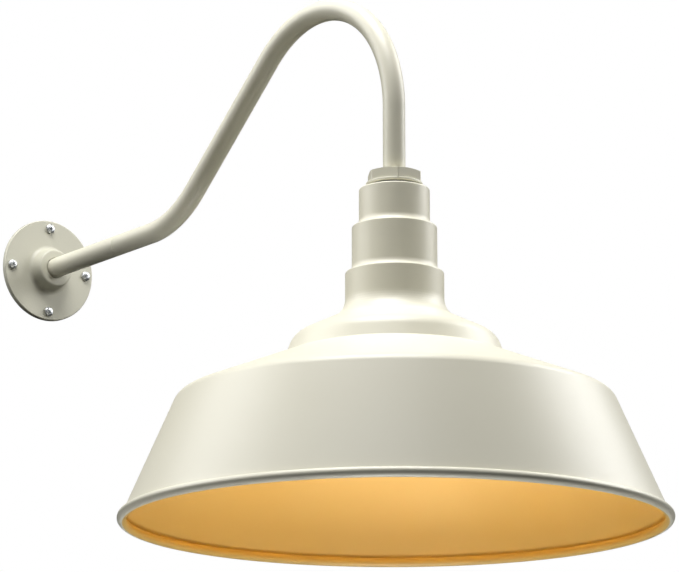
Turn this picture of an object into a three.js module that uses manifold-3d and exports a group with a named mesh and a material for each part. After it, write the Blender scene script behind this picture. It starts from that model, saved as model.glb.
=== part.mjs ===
// Gooseneck wall lantern: a cast wall plate, a bent steel arm and a spun metal shade with a
// stepped neck, wired to a porcelain lampholder that holds a screw-in bulb.
//
// Millimetres, +Z up. The origin is on the wall, at the centre of the wall plate. The wall is
// the plane y = 0 and the arm leaves it along -Y.

import * as THREE from 'three';
import { mergeVertices } from 'three/addons/utils/BufferGeometryUtils.js';
import Module from 'manifold-3d';

const wasm = await Module();
wasm.setup();

// ---------------------------------------------------------------- driving dimensions

// Clearances
const TOUCH_GAP = 0.3;            // between pieces that rest on each other
const SLIP_GAP = 0.3;             // radial, between a tube and the hole it goes through
const SCREW_GAP = 0.4;            // radial, between a screw and its hole

// Wall plate and what fastens it
const GASKET_THICKNESS = 1.5;
const GASKET_MARGIN = 1.2;        // how far the gasket stays inside the plate's edge
const PLATE_RADIUS = 49.5;
const PLATE_THICKNESS = 4.8;
const PLATE_EDGE_ROUND = 1.2;
const PLATE_RECESS_RADIUS = 33;
const PLATE_RECESS_DEPTH = 2.4;
const BOSS_BASE_RADIUS = 21;
const BOSS_FACE_RADIUS = 17.8;
const BOSS_HEIGHT = 13;
const BOSS_ROOT_FILLET = 4.5;
const BOSS_EDGE_ROUND = 2;
const WIRE_PASSAGE_RADIUS = 7;
const TUBE_SEAT_DEPTH = 13.5;     // how deep the stub sits in the boss
const SCREW_CIRCLE_RADIUS = 41.4;
const MOUNTING_SCREW_COUNT = 4;
const MOUNTING_SCREW_RADIUS = 2.1;
const MOUNTING_HEAD_RADIUS = 4.6;
const MOUNTING_HEAD_HEIGHT = 3;
const SET_SCREW_RADIUS = 2.5;
const SET_SCREW_SOCKET_FLATS = 2.5;
const SET_SCREW_SOCKET_DEPTH = 3;
const SET_SCREW_HEIGHT = 6.5;     // its axis above the plate's face
const GROUND_SCREW_RADIUS = 2;
const GROUND_SCREW_LENGTH = 1;
const GROUND_SCREW_OFFSET = 25;
const GROUND_HEAD_RADIUS = 3.6;
const GROUND_HEAD_HEIGHT = 1.6;

// Arm
const TUBE_RADIUS = 9.5;
const TUBE_WALL = 1.5;
const STUB_SEAM = 131.5;          // from the wall to the seam between stub and gooseneck
const ARM_STRAIGHT_OUT = 187;     // from the wall to the first bend
const RISE_ANGLE = THREE.MathUtils.degToRad(39.25);
const RISE_BEND_RADIUS = 112.5;
const RISE_LENGTH = 150;
const TOP_BEND_RADIUS = 112.5;
const ARM_DROP = 72;              // straight length between the top bend and the neck
const TUBE_TAIL = 14;             // tube below the top of the neck
const SLEEVE_LENGTH = 50;
const SLEEVE_WALL = 1.4;

// Hub above the shade, and the stack that clamps it from inside the neck
const HUB_GASKET_THICKNESS = 2.2;
const HUB_GASKET_RADIUS = 22.5;
const HUB_FLANGE_THICKNESS = 2.7;
const HUB_FLANGE_RADIUS = 24;
const HUB_HEX_FLATS = 42;
const HUB_HEX_HEIGHT = 9.1;
const HUB_HEX_CHAMFER = 1.1;
const NECK_WASHER_RADIUS = 23;
const NECK_WASHER_THICKNESS = 1.5;
const LOCKNUT_FLATS = 27;
const LOCKNUT_HEIGHT = 6;

// Shade: heights are below the top of the neck
const SHEET = 1.2;
const NECK_ROOM = 9.8;            // from the lampholder to the outside of the neck's first tier
const TIER_STEPS = [0, 6, 11.6];  // how much further out each tier of the neck is than the first
const TIER_TOPS = [0, 32.6, 72.2];
const TIER_EDGE_ROUND = 1.5;
const TIER_FILLET_HEIGHT = 6;
const NECK_END = 106.9;           // where the neck's last tier turns out into the bell
const BELL_INNER_FILLET = 19.8;
const BELL_RADIUS = 84.9;
const BELL_DEPTH = 127.7;
const BELL_OUTER_ROUND = 17.7;
const SHOULDER_INNER_RADIUS = 91.5;
const SHOULDER_INNER_DEPTH = 144.4;
const SHOULDER_RADIUS = 181.4;
const SHOULDER_DEPTH = 180.2;
const SHOULDER_ROUND = 12.2;
const SHADE_DIAMETER = 457.2;     // over the rolled rim
const RIM_DEPTH = 281.4;          // of the middle of the rolled rim
const RIM_BEAD_RADIUS = 4.1;
const RIM_SHEET_INSET = 0.9;      // how far the skirt's line runs inside the bead's middle

// Lampholder
const HOLDER_TOP = 22;            // below the top of the neck
const HOLDER_HEIGHT = 48;
const HOLDER_RADIUS = 20;
const HOLDER_CROWN_RADIUS = 17;
const HOLDER_CROWN_HEIGHT = 9;
const HOLDER_CEILING = 14;        // thickness of porcelain over the contact
const CONTACT_HEIGHT = 7;
const CONTACT_RADIUS = 5;
const CONTACT_PLATE_RADIUS = 7;
const CONTACT_PLATE_THICKNESS = 1;
const SCREW_SHELL_WALL = 0.6;
const SCREW_SHELL_LENGTH = 26;
const STRAP_WIDTH = 26;
const STRAP_THICKNESS = 1.5;
const STRAP_LEG_LENGTH = 38;      // down from the strap's top plate
const STRAP_SCREW_RADIUS = 2;
const STRAP_HEAD_RADIUS = 3.6;
const STRAP_HEAD_HEIGHT = 2;
const STRAP_SCREW_RISE = 9;       // of the screws above the foot of the legs
const STRAP_SCREW_BITE = 3.4;     // how far the screws go into the porcelain
const TERMINAL_OFFSET = 12;
const TERMINAL_HEAD_RADIUS = 3.2;
const TERMINAL_HEAD_HEIGHT = 1.8;
const TERMINAL_SCREW_RADIUS = 1.6;
const TERMINAL_SCREW_LENGTH = 5;
const LEAD_RADIUS = 1.1;
const LEAD_OFFSET = 2.4;          // of each lead from the middle of the tube
const LEAD_START = 1;             // its cut end, out from the wall
const LEAD_FLARE = 4;             // above the tube's end, where the leads start to part

// Bulb
const BULB_CAP_RADIUS = 13.1;     // over the thread of a 26 mm screw cap
const BULB_CAP_LENGTH = 21;
const BULB_CAP_WALL = 0.7;
const BULB_THREAD_GAP = 0.6;      // radial, between the cap and the lampholder's screw shell
const BULB_TIP_RADIUS = 4.5;
const BULB_TIP_HEIGHT = 1.5;
const BULB_INSULATOR_HEIGHT = 3.6;
const BULB_RADIUS = 30;
const BULB_LENGTH = 110;
const BULB_HOUSING_RADIUS = 25;
const BULB_HOUSING_HEIGHT = 33;
const BULB_GLOBE_WALL = 1.5;

// Facets
const TUBE_SIDES = 14;
const GOOSENECK_STEPS = 44;
const SHADE_SIDES = 40;
const PLATE_SIDES = 32;
const ROUND_SIDES = 24;
const SMALL_SIDES = 12;
const LEAD_SIDES = 8;
const LEAD_STEPS = 56;

// ---------------------------------------------------------------- places worked out from them

const PLATE_BACK = GASKET_THICKNESS + TOUCH_GAP;
const PLATE_FACE = PLATE_BACK + PLATE_THICKNESS;
const BOSS_FACE = PLATE_FACE + BOSS_HEIGHT;
const STUB_START = BOSS_FACE - TUBE_SEAT_DEPTH;
const TUBE_BORE = TUBE_RADIUS - TUBE_WALL;
const TUBE_HOLE = TUBE_RADIUS + SLIP_GAP;

const TIER_RADII = TIER_STEPS.map((step) => HOLDER_RADIUS + NECK_ROOM + step);

// The arm's middle line, as distance out from the wall and height.
const RISE_START_OUT = ARM_STRAIGHT_OUT + RISE_BEND_RADIUS * Math.sin(RISE_ANGLE);
const RISE_START_UP = RISE_BEND_RADIUS * (1 - Math.cos(RISE_ANGLE));
const RISE_END_OUT = RISE_START_OUT + RISE_LENGTH * Math.cos(RISE_ANGLE);
const RISE_END_UP = RISE_START_UP + RISE_LENGTH * Math.sin(RISE_ANGLE);
const TOP_CENTRE_OUT = RISE_END_OUT + TOP_BEND_RADIUS * Math.sin(RISE_ANGLE);
const TOP_CENTRE_UP = RISE_END_UP - TOP_BEND_RADIUS * Math.cos(RISE_ANGLE);
const LAMP_OUT = TOP_CENTRE_OUT + TOP_BEND_RADIUS;
const NECK_TOP = TOP_CENTRE_UP - ARM_DROP;

// ---------------------------------------------------------------- solids

function toSolid(geometry) {
  const bare = geometry.clone();
  bare.deleteAttribute('normal');
  bare.deleteAttribute('uv');
  const merged = mergeVertices(bare, 1e-4);
  const corners = Array.from(merged.index.array);
  const triangles = [];
  for (let i = 0; i < corners.length; i += 3) {
    const [a, b, c] = corners.slice(i, i + 3);
    if (a !== b && b !== c && c !== a) {
      triangles.push(a, b, c);
    }
  }
  return new wasm.Manifold(new wasm.Mesh({
    numProp: 3,
    vertProperties: new Float32Array(merged.attributes.position.array),
    triVerts: new Uint32Array(triangles),
  }));
}

function toGeometry(solid) {
  const mesh = solid.getMesh();
  const geometry = new THREE.BufferGeometry();
  geometry.setAttribute('position', new THREE.BufferAttribute(mesh.vertProperties, 3));
  geometry.setIndex(new THREE.BufferAttribute(mesh.triVerts, 1));
  return geometry;
}

// A closed outline of [radius, height] points turned about +Z.
function revolve(outline, sides = ROUND_SIDES) {
  const points = outline.map(([radius, height]) => new THREE.Vector2(radius, height));
  if (THREE.ShapeUtils.isClockWise(points)) {
    points.reverse();
  }
  points.push(points[0].clone());
  const geometry = new THREE.LatheGeometry(points, sides);
  geometry.rotateX(Math.PI / 2);
  return toSolid(geometry);
}

function disc(radius, low, high, sides = SMALL_SIDES) {
  return revolve([[0, low], [radius, low], [radius, high], [0, high]], sides);
}

// The corner radius of a many-sided hole whose flats keep clear of a circle.
function around(radius, sides) {
  return radius / Math.cos(Math.PI / sides);
}

// A cutter for a round hole, wide enough at its flats.
function hole(radius, low, high, sides = SMALL_SIDES) {
  return disc(around(radius, sides), low, high, sides);
}

function ring(outer, inner, low, high, sides = ROUND_SIDES) {
  return revolve([[inner, low], [outer, low], [outer, high], [inner, high]], sides);
}

function box(width, depth, height, centre) {
  const geometry = new THREE.BoxGeometry(width, depth, height);
  geometry.translate(...centre);
  return toSolid(geometry);
}

// A six-sided bar with flats on the front and back; flats is the distance across them.
function hexBar(flats, low, high) {
  const corner = flats / Math.sqrt(3);
  const geometry = new THREE.CylinderGeometry(corner, corner, high - low, 6);
  geometry.rotateX(Math.PI / 2);
  geometry.rotateZ(Math.PI / 6);
  geometry.translate(0, 0, (low + high) / 2);
  return toSolid(geometry);
}

function regularPolygon(radius, sides, clockwise = false) {
  const turn = (clockwise ? -1 : 1) * 2 * Math.PI / sides;
  return Array.from({ length: sides }, (_, i) => new THREE.Vector2(
    radius * Math.cos(turn * i),
    radius * Math.sin(turn * i),
  ));
}

// A pipe, or a rod when bore is 0, along a path.
function tubeAlong(path, radius, bore, sides, steps) {
  const section = new THREE.Shape(regularPolygon(radius, sides));
  if (bore > 0) {
    section.holes.push(new THREE.Path(regularPolygon(bore, sides, true)));
  }
  return toSolid(new THREE.ExtrudeGeometry(section, { steps, extrudePath: path, bevelEnabled: false }));
}

// ---------------------------------------------------------------- outlines

// Points of an elliptical quarter turn about (centreR, centreH), from angle to angle in degrees.
function turn(centreR, centreH, radiusR, radiusH, fromDegrees, toDegrees, steps) {
  return Array.from({ length: steps + 1 }, (_, i) => {
    const angle = THREE.MathUtils.degToRad(fromDegrees + (toDegrees - fromDegrees) * i / steps);
    return [centreR + radiusR * Math.cos(angle), centreH + radiusH * Math.sin(angle)];
  });
}

// Replaces a corner of an outline by a round of the given radius.
function roundCorner(before, corner, after, radius, steps) {
  const at = new THREE.Vector2(...corner);
  const back = new THREE.Vector2(...before).sub(at).normalize();
  const on = new THREE.Vector2(...after).sub(at).normalize();
  const half = Math.acos(back.dot(on)) / 2;
  const reach = radius / Math.tan(half);
  const middle = back.clone().add(on).normalize().multiplyScalar(radius / Math.sin(half)).add(at);
  const start = back.clone().multiplyScalar(reach).add(at).sub(middle);
  const end = on.clone().multiplyScalar(reach).add(at).sub(middle);
  let sweep = end.angle() - start.angle();
  sweep -= 2 * Math.PI * Math.round(sweep / (2 * Math.PI));
  return Array.from({ length: steps + 1 }, (_, i) => {
    const spoke = start.clone().rotateAround(new THREE.Vector2(), sweep * i / steps);
    return [middle.x + spoke.x, middle.y + spoke.y];
  });
}

// The same open outline moved sideways by a distance, to the right of its direction.
function offsetOutline(outline, distance) {
  return outline.map((point, i) => {
    const here = new THREE.Vector2(...point);
    const before = i > 0 ? here.clone().sub(new THREE.Vector2(...outline[i - 1])).normalize() : null;
    const after = i < outline.length - 1
      ? new THREE.Vector2(...outline[i + 1]).sub(here).normalize() : null;
    const first = before ?? after;
    const second = after ?? before;
    const side = new THREE.Vector2(first.y + second.y, -(first.x + second.x)).normalize();
    const stretch = distance / (side.x * second.y - side.y * second.x);
    return [here.x + side.x * stretch, here.y + side.y * stretch];
  });
}

// The shade's outer face from the hole in the neck's top to the end of the skirt.
function shadeOuterFace() {
  const outline = [[around(TUBE_HOLE, SHADE_SIDES), 0]];
  TIER_RADII.forEach((radius, i) => {
    const top = -TIER_TOPS[i];
    if (i > 0) {
      const width = radius - TIER_RADII[i - 1] - TIER_EDGE_ROUND;
      outline.push(...turn(
        TIER_RADII[i - 1] + width, top + TIER_FILLET_HEIGHT,
        width, TIER_FILLET_HEIGHT, 180, 270, 2,
      ));
    }
    outline.push(...turn(
      radius - TIER_EDGE_ROUND, top - TIER_EDGE_ROUND,
      TIER_EDGE_ROUND, TIER_EDGE_ROUND, i > 0 ? 45 : 90, 0, i > 0 ? 1 : 2,
    ));
  });
  const tierFoot = [TIER_RADII.at(-1), -NECK_END];
  const bell = [BELL_RADIUS, -BELL_DEPTH];
  const collar = [SHOULDER_INNER_RADIUS, -SHOULDER_INNER_DEPTH];
  const shoulder = [SHOULDER_RADIUS, -SHOULDER_DEPTH];
  const rim = [SHADE_DIAMETER / 2 - RIM_BEAD_RADIUS + RIM_SHEET_INSET, -RIM_DEPTH];
  const above = [TIER_RADII.at(-1), -TIER_TOPS.at(-1)];
  outline.push(...roundCorner(above, tierFoot, bell, BELL_INNER_FILLET, 3));
  outline.push(...roundCorner(tierFoot, bell, collar, BELL_OUTER_ROUND, 2));
  outline.push(collar);
  outline.push(...roundCorner(collar, shoulder, rim, SHOULDER_ROUND, 2));
  return { outline, rim };
}

// Where a wall's straight line enters the rolled rim, as an angle about the bead's middle.
function beadAngle(from, towards, middle) {
  const start = new THREE.Vector2(...from);
  const along = new THREE.Vector2(...towards).sub(start).normalize();
  const toMiddle = middle.clone().sub(start);
  const reach = toMiddle.dot(along);
  const half = Math.sqrt(RIM_BEAD_RADIUS ** 2 - toMiddle.lengthSq() + reach ** 2);
  const entry = start.add(along.multiplyScalar(reach - half)).sub(middle);
  return THREE.MathUtils.radToDeg(entry.angle());
}

// The sheet, turned back on itself at the bottom into a rolled rim.
function shadeOutline() {
  const { outline, rim } = shadeOuterFace();
  const inner = offsetOutline([...outline, rim], SHEET);
  inner[0] = [around(TUBE_HOLE, SHADE_SIDES), -SHEET];
  const innerRim = inner.pop();
  const middle = new THREE.Vector2(SHADE_DIAMETER / 2 - RIM_BEAD_RADIUS, -RIM_DEPTH);
  const outside = beadAngle(outline.at(-1), rim, middle);
  const inside = beadAngle(inner.at(-1), innerRim, middle) - 360;
  const roll = turn(middle.x, middle.y, RIM_BEAD_RADIUS, RIM_BEAD_RADIUS, outside, inside, 8);
  return [...outline, ...roll, ...inner.reverse()];
}

// ---------------------------------------------------------------- the arm's path

// A circular bend in the plane of the arm, as [out from the wall, up] about a centre.
class Bend extends THREE.Curve {
  constructor(centreOut, centreUp, radius, fromAngle, toAngle) {
    super();
    Object.assign(this, { centreOut, centreUp, radius, fromAngle, toAngle });
  }

  getPoint(t, target = new THREE.Vector3()) {
    const angle = this.fromAngle + (this.toAngle - this.fromAngle) * t;
    return target.set(
      0,
      -(this.centreOut + this.radius * Math.cos(angle)),
      this.centreUp + this.radius * Math.sin(angle),
    );
  }
}

function armPoint(out, up) {
  return new THREE.Vector3(0, -out, up);
}

// From a distance out from the wall, over the top bend, to a depth below the top of the neck.
function armPath(startOut, tail) {
  const path = new THREE.CurvePath();
  path.add(new THREE.LineCurve3(armPoint(startOut, 0), armPoint(ARM_STRAIGHT_OUT, 0)));
  path.add(new Bend(
    ARM_STRAIGHT_OUT, RISE_BEND_RADIUS, RISE_BEND_RADIUS,
    -Math.PI / 2, RISE_ANGLE - Math.PI / 2,
  ));
  path.add(new THREE.LineCurve3(
    armPoint(RISE_START_OUT, RISE_START_UP),
    armPoint(RISE_END_OUT, RISE_END_UP),
  ));
  path.add(new Bend(
    TOP_CENTRE_OUT, TOP_CENTRE_UP, TOP_BEND_RADIUS,
    RISE_ANGLE + Math.PI / 2, 0,
  ));
  path.add(new THREE.LineCurve3(armPoint(LAMP_OUT, TOP_CENTRE_UP), armPoint(LAMP_OUT, NECK_TOP - tail)));
  return path;
}

// ---------------------------------------------------------------- materials

function finish(color, roughness, metalness) {
  return new THREE.MeshStandardMaterial({ color, roughness, metalness });
}

const creamPaint = finish(0xe8e5d4, 0.4, 0);
const rubber = finish(0x2b2b2a, 0.85, 0);
const zincSteel = finish(0xc9cbcc, 0.35, 1);
const brass = finish(0xc9a35a, 0.35, 1);
const porcelain = finish(0xf1efe8, 0.2, 0);
const blackGlass = finish(0x17171a, 0.2, 0);
const greenSteel = finish(0x3f7d4a, 0.45, 0.6);
const nickelBrass = finish(0xd5cfc0, 0.3, 1);
const whitePlastic = finish(0xf3f3f0, 0.35, 0);
const opalPlastic = finish(0xfbfaf5, 0.3, 0);
const blackInsulation = finish(0x1b1b1d, 0.5, 0);
const whiteInsulation = finish(0xe9e8e4, 0.5, 0);
const boardAluminium = finish(0xdadcdd, 0.4, 1);

// ---------------------------------------------------------------- assembly

const lantern = new THREE.Group();

// On the wall: local +Z points out of the wall and local +Y up.
const wall = new THREE.Group();
wall.rotation.x = Math.PI / 2;
lantern.add(wall);

// Under the end of the arm: the local origin is the middle of the neck's top.
const lamp = new THREE.Group();
lamp.position.set(0, -LAMP_OUT, NECK_TOP);
lantern.add(lamp);

function addPiece(parent, name, solid, material, place = {}) {
  const mesh = new THREE.Mesh(toGeometry(solid), material);
  mesh.name = name;
  mesh.position.set(...(place.position ?? [0, 0, 0]));
  mesh.rotation.set(...(place.rotation ?? [0, 0, 0]));
  parent.add(mesh);
}

// A pan-head screw standing on z = 0, its shank down to -length, with a cross cut in its head.
function panScrew(headRadius, headHeight, shankRadius, length) {
  const dome = turn(0, headHeight * 0.35, headRadius, headHeight * 0.65, 0, 90, 2);
  const body = revolve(
    [[0, -length], [shankRadius, -length], [shankRadius, 0], [headRadius, 0], ...dome],
    SMALL_SIDES,
  );
  const slot = headRadius * 0.26;
  const cross = box(headRadius, slot, headHeight, [0, 0, headHeight])
    .add(box(slot, headRadius, headHeight, [0, 0, headHeight]));
  return body.subtract(cross);
}

// ---- wall plate

function wallPlate() {
  const bossSlope = (BOSS_BASE_RADIUS - BOSS_FACE_RADIUS) / BOSS_HEIGHT;
  const edge = PLATE_RADIUS - PLATE_EDGE_ROUND;
  const boss = [
    [BOSS_BASE_RADIUS + BOSS_ROOT_FILLET, PLATE_FACE],
    [BOSS_BASE_RADIUS + BOSS_ROOT_FILLET * 0.3, PLATE_FACE + BOSS_ROOT_FILLET * 0.3],
    [BOSS_BASE_RADIUS - bossSlope * BOSS_ROOT_FILLET, PLATE_FACE + BOSS_ROOT_FILLET],
    [BOSS_FACE_RADIUS + bossSlope * BOSS_EDGE_ROUND, BOSS_FACE - BOSS_EDGE_ROUND],
    [BOSS_FACE_RADIUS - BOSS_EDGE_ROUND * 0.3, BOSS_FACE - BOSS_EDGE_ROUND * 0.3],
    [BOSS_FACE_RADIUS - BOSS_EDGE_ROUND, BOSS_FACE],
  ];
  const seat = STUB_START - TOUCH_GAP;
  const tubeHole = around(TUBE_HOLE, PLATE_SIDES);
  const recess = PLATE_BACK + PLATE_RECESS_DEPTH;
  let plate = revolve([
    [PLATE_RECESS_RADIUS, PLATE_BACK],
    [PLATE_RADIUS, PLATE_BACK],
    [PLATE_RADIUS, PLATE_FACE - PLATE_EDGE_ROUND],
    [edge + PLATE_EDGE_ROUND * 0.7, PLATE_FACE - PLATE_EDGE_ROUND * 0.3],
    [edge, PLATE_FACE],
    ...boss,
    [tubeHole, BOSS_FACE],
    [tubeHole, seat],
    [WIRE_PASSAGE_RADIUS, seat],
    [WIRE_PASSAGE_RADIUS, recess],
    [PLATE_RECESS_RADIUS, recess],
  ], PLATE_SIDES);
  const screwHole = hole(MOUNTING_SCREW_RADIUS + SCREW_GAP, 0, PLATE_FACE + 1);
  for (const { x, y } of screwPlaces()) {
    plate = plate.subtract(screwHole.translate([x, y, 0]));
  }
  const setScrewHole = hole(SET_SCREW_RADIUS + SCREW_GAP, 0, BOSS_BASE_RADIUS + BOSS_ROOT_FILLET)
    .rotate([-90, 0, 0]).translate([0, 0, PLATE_FACE + SET_SCREW_HEIGHT]);
  const groundHole = hole(GROUND_SCREW_RADIUS + SCREW_GAP, 0, recess + GROUND_SCREW_LENGTH)
    .translate([GROUND_SCREW_OFFSET, 0, 0]);
  return plate.subtract(setScrewHole).subtract(groundHole);
}

function screwPlaces() {
  return Array.from({ length: MOUNTING_SCREW_COUNT }, (_, i) => {
    const angle = Math.PI / 2 + 2 * Math.PI * i / MOUNTING_SCREW_COUNT;
    return { x: SCREW_CIRCLE_RADIUS * Math.cos(angle), y: SCREW_CIRCLE_RADIUS * Math.sin(angle) };
  });
}

function wallGasket() {
  let gasket = ring(PLATE_RADIUS - GASKET_MARGIN, PLATE_RECESS_RADIUS, 0, GASKET_THICKNESS, PLATE_SIDES);
  const screwHole = hole(MOUNTING_SCREW_RADIUS + SCREW_GAP, -1, GASKET_THICKNESS + 1);
  for (const { x, y } of screwPlaces()) {
    gasket = gasket.subtract(screwHole.translate([x, y, 0]));
  }
  return gasket;
}

addPiece(wall, 'wall_gasket', wallGasket(), rubber);
addPiece(wall, 'wall_plate', wallPlate(), creamPaint);

const screwStand = PLATE_FACE + TOUCH_GAP;
const mountingScrew = panScrew(
  MOUNTING_HEAD_RADIUS, MOUNTING_HEAD_HEIGHT,
  MOUNTING_SCREW_RADIUS, screwStand,
);
screwPlaces().forEach(({ x, y }, i) => {
  addPiece(wall, `mounting_screw_${i + 1}`, mountingScrew, zincSteel, { position: [x, y, screwStand] });
});

// The set screw bears on the stub from above; its outer end is level with the boss.
const setScrewEnd = BOSS_FACE_RADIUS + 1;
const setScrew = disc(SET_SCREW_RADIUS, TUBE_HOLE, setScrewEnd)
  .subtract(hexBar(SET_SCREW_SOCKET_FLATS, setScrewEnd - SET_SCREW_SOCKET_DEPTH, setScrewEnd + 1));
addPiece(wall, 'arm_set_screw', setScrew, zincSteel, {
  position: [0, 0, PLATE_FACE + SET_SCREW_HEIGHT],
  rotation: [-Math.PI / 2, 0, 0],
});

// The ground screw's head lies in the recess behind the plate.
const groundScrew = panScrew(
  GROUND_HEAD_RADIUS, GROUND_HEAD_HEIGHT,
  GROUND_SCREW_RADIUS, GROUND_SCREW_LENGTH,
);
addPiece(wall, 'ground_screw', groundScrew, greenSteel, {
  position: [GROUND_SCREW_OFFSET, 0, PLATE_BACK + PLATE_RECESS_DEPTH - TOUCH_GAP],
  rotation: [Math.PI, 0, 0],
});

// ---- arm

addPiece(wall, 'arm_stub', ring(TUBE_RADIUS, TUBE_BORE, STUB_START, STUB_SEAM, TUBE_SIDES), creamPaint);

const sleeveRadius = TUBE_BORE * Math.cos(Math.PI / TUBE_SIDES) - SLIP_GAP;
const sleeve = ring(
  sleeveRadius, sleeveRadius - SLEEVE_WALL,
  STUB_SEAM - SLEEVE_LENGTH / 2, STUB_SEAM + SLEEVE_LENGTH / 2, TUBE_SIDES,
);
addPiece(wall, 'joint_sleeve', sleeve, zincSteel);

const gooseneckPath = armPath(STUB_SEAM + TOUCH_GAP, TUBE_TAIL);
const gooseneck = tubeAlong(gooseneckPath, TUBE_RADIUS, TUBE_BORE, TUBE_SIDES, GOOSENECK_STEPS);
addPiece(lantern, 'gooseneck_arm', gooseneck, creamPaint);

// ---- hub

const flangeBottom = HUB_GASKET_THICKNESS + 2 * TOUCH_GAP;
const hexBottom = flangeBottom + HUB_FLANGE_THICKNESS;
const hexTop = hexBottom + HUB_HEX_HEIGHT;
const hexCorner = HUB_HEX_FLATS / Math.sqrt(3);
const hubEnvelope = revolve([
  [0, flangeBottom],
  [HUB_FLANGE_RADIUS, flangeBottom],
  [HUB_FLANGE_RADIUS, hexBottom],
  [hexCorner, hexBottom],
  [hexCorner, hexTop - HUB_HEX_CHAMFER],
  [HUB_HEX_FLATS / 2 - HUB_HEX_CHAMFER, hexTop],
  [0, hexTop],
]);
const hubNut = hexBar(HUB_HEX_FLATS, hexBottom - 1, hexTop + 1)
  .add(disc(HUB_FLANGE_RADIUS, flangeBottom, hexBottom, ROUND_SIDES))
  .intersect(hubEnvelope)
  .subtract(hole(TUBE_HOLE, 0, hexTop + 2, TUBE_SIDES));
addPiece(lamp, 'hub_nut', hubNut, creamPaint);

const gasketTop = TOUCH_GAP + HUB_GASKET_THICKNESS;
const hubGasket = ring(HUB_GASKET_RADIUS, around(TUBE_HOLE, ROUND_SIDES), TOUCH_GAP, gasketTop);
addPiece(lamp, 'hub_gasket', hubGasket, rubber);

// ---- shade

addPiece(lamp, 'shade', revolve(shadeOutline(), SHADE_SIDES), creamPaint);

// ---- inside the neck: washer, strap and locknut clamp the shade to the tube

const washerTop = -SHEET - TOUCH_GAP;
const washerBottom = washerTop - NECK_WASHER_THICKNESS;
const washerHole = around(TUBE_HOLE, ROUND_SIDES);
const neckWasher = ring(NECK_WASHER_RADIUS, washerHole, washerBottom, washerTop);
addPiece(lamp, 'neck_washer', neckWasher, zincSteel);

const strapTop = washerBottom - TOUCH_GAP;
const strapBottom = strapTop - STRAP_THICKNESS;
const strapInside = HOLDER_RADIUS + TOUCH_GAP;
const strapSpan = 2 * (strapInside + STRAP_THICKNESS);
const strapFoot = strapTop - STRAP_LEG_LENGTH;
const strapScrewHeight = strapFoot + STRAP_SCREW_RISE;
const strapScrewHole = hole(STRAP_SCREW_RADIUS + SCREW_GAP, -strapSpan, strapSpan)
  .rotate([0, 90, 0]).translate([0, 0, strapScrewHeight]);
const strap = box(strapSpan, STRAP_WIDTH, STRAP_LEG_LENGTH, [0, 0, strapTop - STRAP_LEG_LENGTH / 2])
  .subtract(box(
    2 * strapInside, STRAP_WIDTH + 2, STRAP_LEG_LENGTH,
    [0, 0, strapBottom - STRAP_LEG_LENGTH / 2],
  ))
  .subtract(hole(TUBE_HOLE, strapBottom - 1, strapTop + 1, TUBE_SIDES))
  .subtract(strapScrewHole);
addPiece(lamp, 'holder_strap', strap, zincSteel);

const locknutTop = strapBottom - TOUCH_GAP;
const locknut = hexBar(LOCKNUT_FLATS, locknutTop - LOCKNUT_HEIGHT, locknutTop)
  .subtract(hole(TUBE_HOLE, locknutTop - LOCKNUT_HEIGHT - 1, locknutTop + 1, TUBE_SIDES));
addPiece(lamp, 'neck_locknut', locknut, zincSteel);

// ---- lampholder

const holderTop = -HOLDER_TOP;
const holderBottom = holderTop - HOLDER_HEIGHT;
const holderCeiling = holderTop - HOLDER_CEILING;
const shellInner = BULB_CAP_RADIUS + BULB_THREAD_GAP;
const shellOuter = shellInner + SCREW_SHELL_WALL;
const holderBore = around(shellOuter + SLIP_GAP, ROUND_SIDES);
const crownFoot = holderTop - HOLDER_CROWN_HEIGHT;
const terminalHole = hole(
  TERMINAL_SCREW_RADIUS + SCREW_GAP,
  holderTop - TERMINAL_SCREW_LENGTH - TOUCH_GAP, holderTop + 1,
);
const strapScrewEnd = HOLDER_RADIUS - STRAP_SCREW_BITE;
const strapScrewSocket = hole(STRAP_SCREW_RADIUS + SCREW_GAP, strapScrewEnd - TOUCH_GAP, HOLDER_RADIUS + 2);
const holder = revolve([
  [0, holderTop],
  [HOLDER_CROWN_RADIUS - 1, holderTop],
  [HOLDER_CROWN_RADIUS, holderTop - 1],
  [HOLDER_CROWN_RADIUS, crownFoot],
  [HOLDER_RADIUS, crownFoot - 2],
  [HOLDER_RADIUS, holderBottom + 1.5],
  [HOLDER_RADIUS - 1.5, holderBottom],
  [holderBore, holderBottom],
  [holderBore, holderCeiling],
  [0, holderCeiling],
])
  .subtract(strapScrewSocket.rotate([0, 90, 0]).translate([0, 0, strapScrewHeight]))
  .subtract(strapScrewSocket.rotate([0, -90, 0]).translate([0, 0, strapScrewHeight]))
  .subtract(terminalHole.translate([TERMINAL_OFFSET, 0, 0]))
  .subtract(terminalHole.translate([-TERMINAL_OFFSET, 0, 0]));
addPiece(lamp, 'lampholder', holder, porcelain);

// Each side has a strap screw into the porcelain and a terminal screw on its crown.
const strapScrewStand = strapSpan / 2 + TOUCH_GAP;
const strapScrew = panScrew(
  STRAP_HEAD_RADIUS, STRAP_HEAD_HEIGHT,
  STRAP_SCREW_RADIUS, strapScrewStand - strapScrewEnd,
);
const terminalScrew = panScrew(
  TERMINAL_HEAD_RADIUS, TERMINAL_HEAD_HEIGHT,
  TERMINAL_SCREW_RADIUS, TERMINAL_SCREW_LENGTH,
);
for (const [side, sign] of [['live', 1], ['neutral', -1]]) {
  addPiece(lamp, `strap_screw_${side}_side`, strapScrew, zincSteel, {
    position: [sign * strapScrewStand, 0, strapScrewHeight],
    rotation: [0, sign * Math.PI / 2, 0],
  });
  addPiece(lamp, `terminal_screw_${side}`, terminalScrew, brass, {
    position: [sign * TERMINAL_OFFSET, 0, holderTop + TOUCH_GAP],
  });
}

const shellTop = holderBottom + SCREW_SHELL_LENGTH;
addPiece(lamp, 'screw_shell', ring(shellOuter, shellInner, holderBottom, shellTop), brass);

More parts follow.
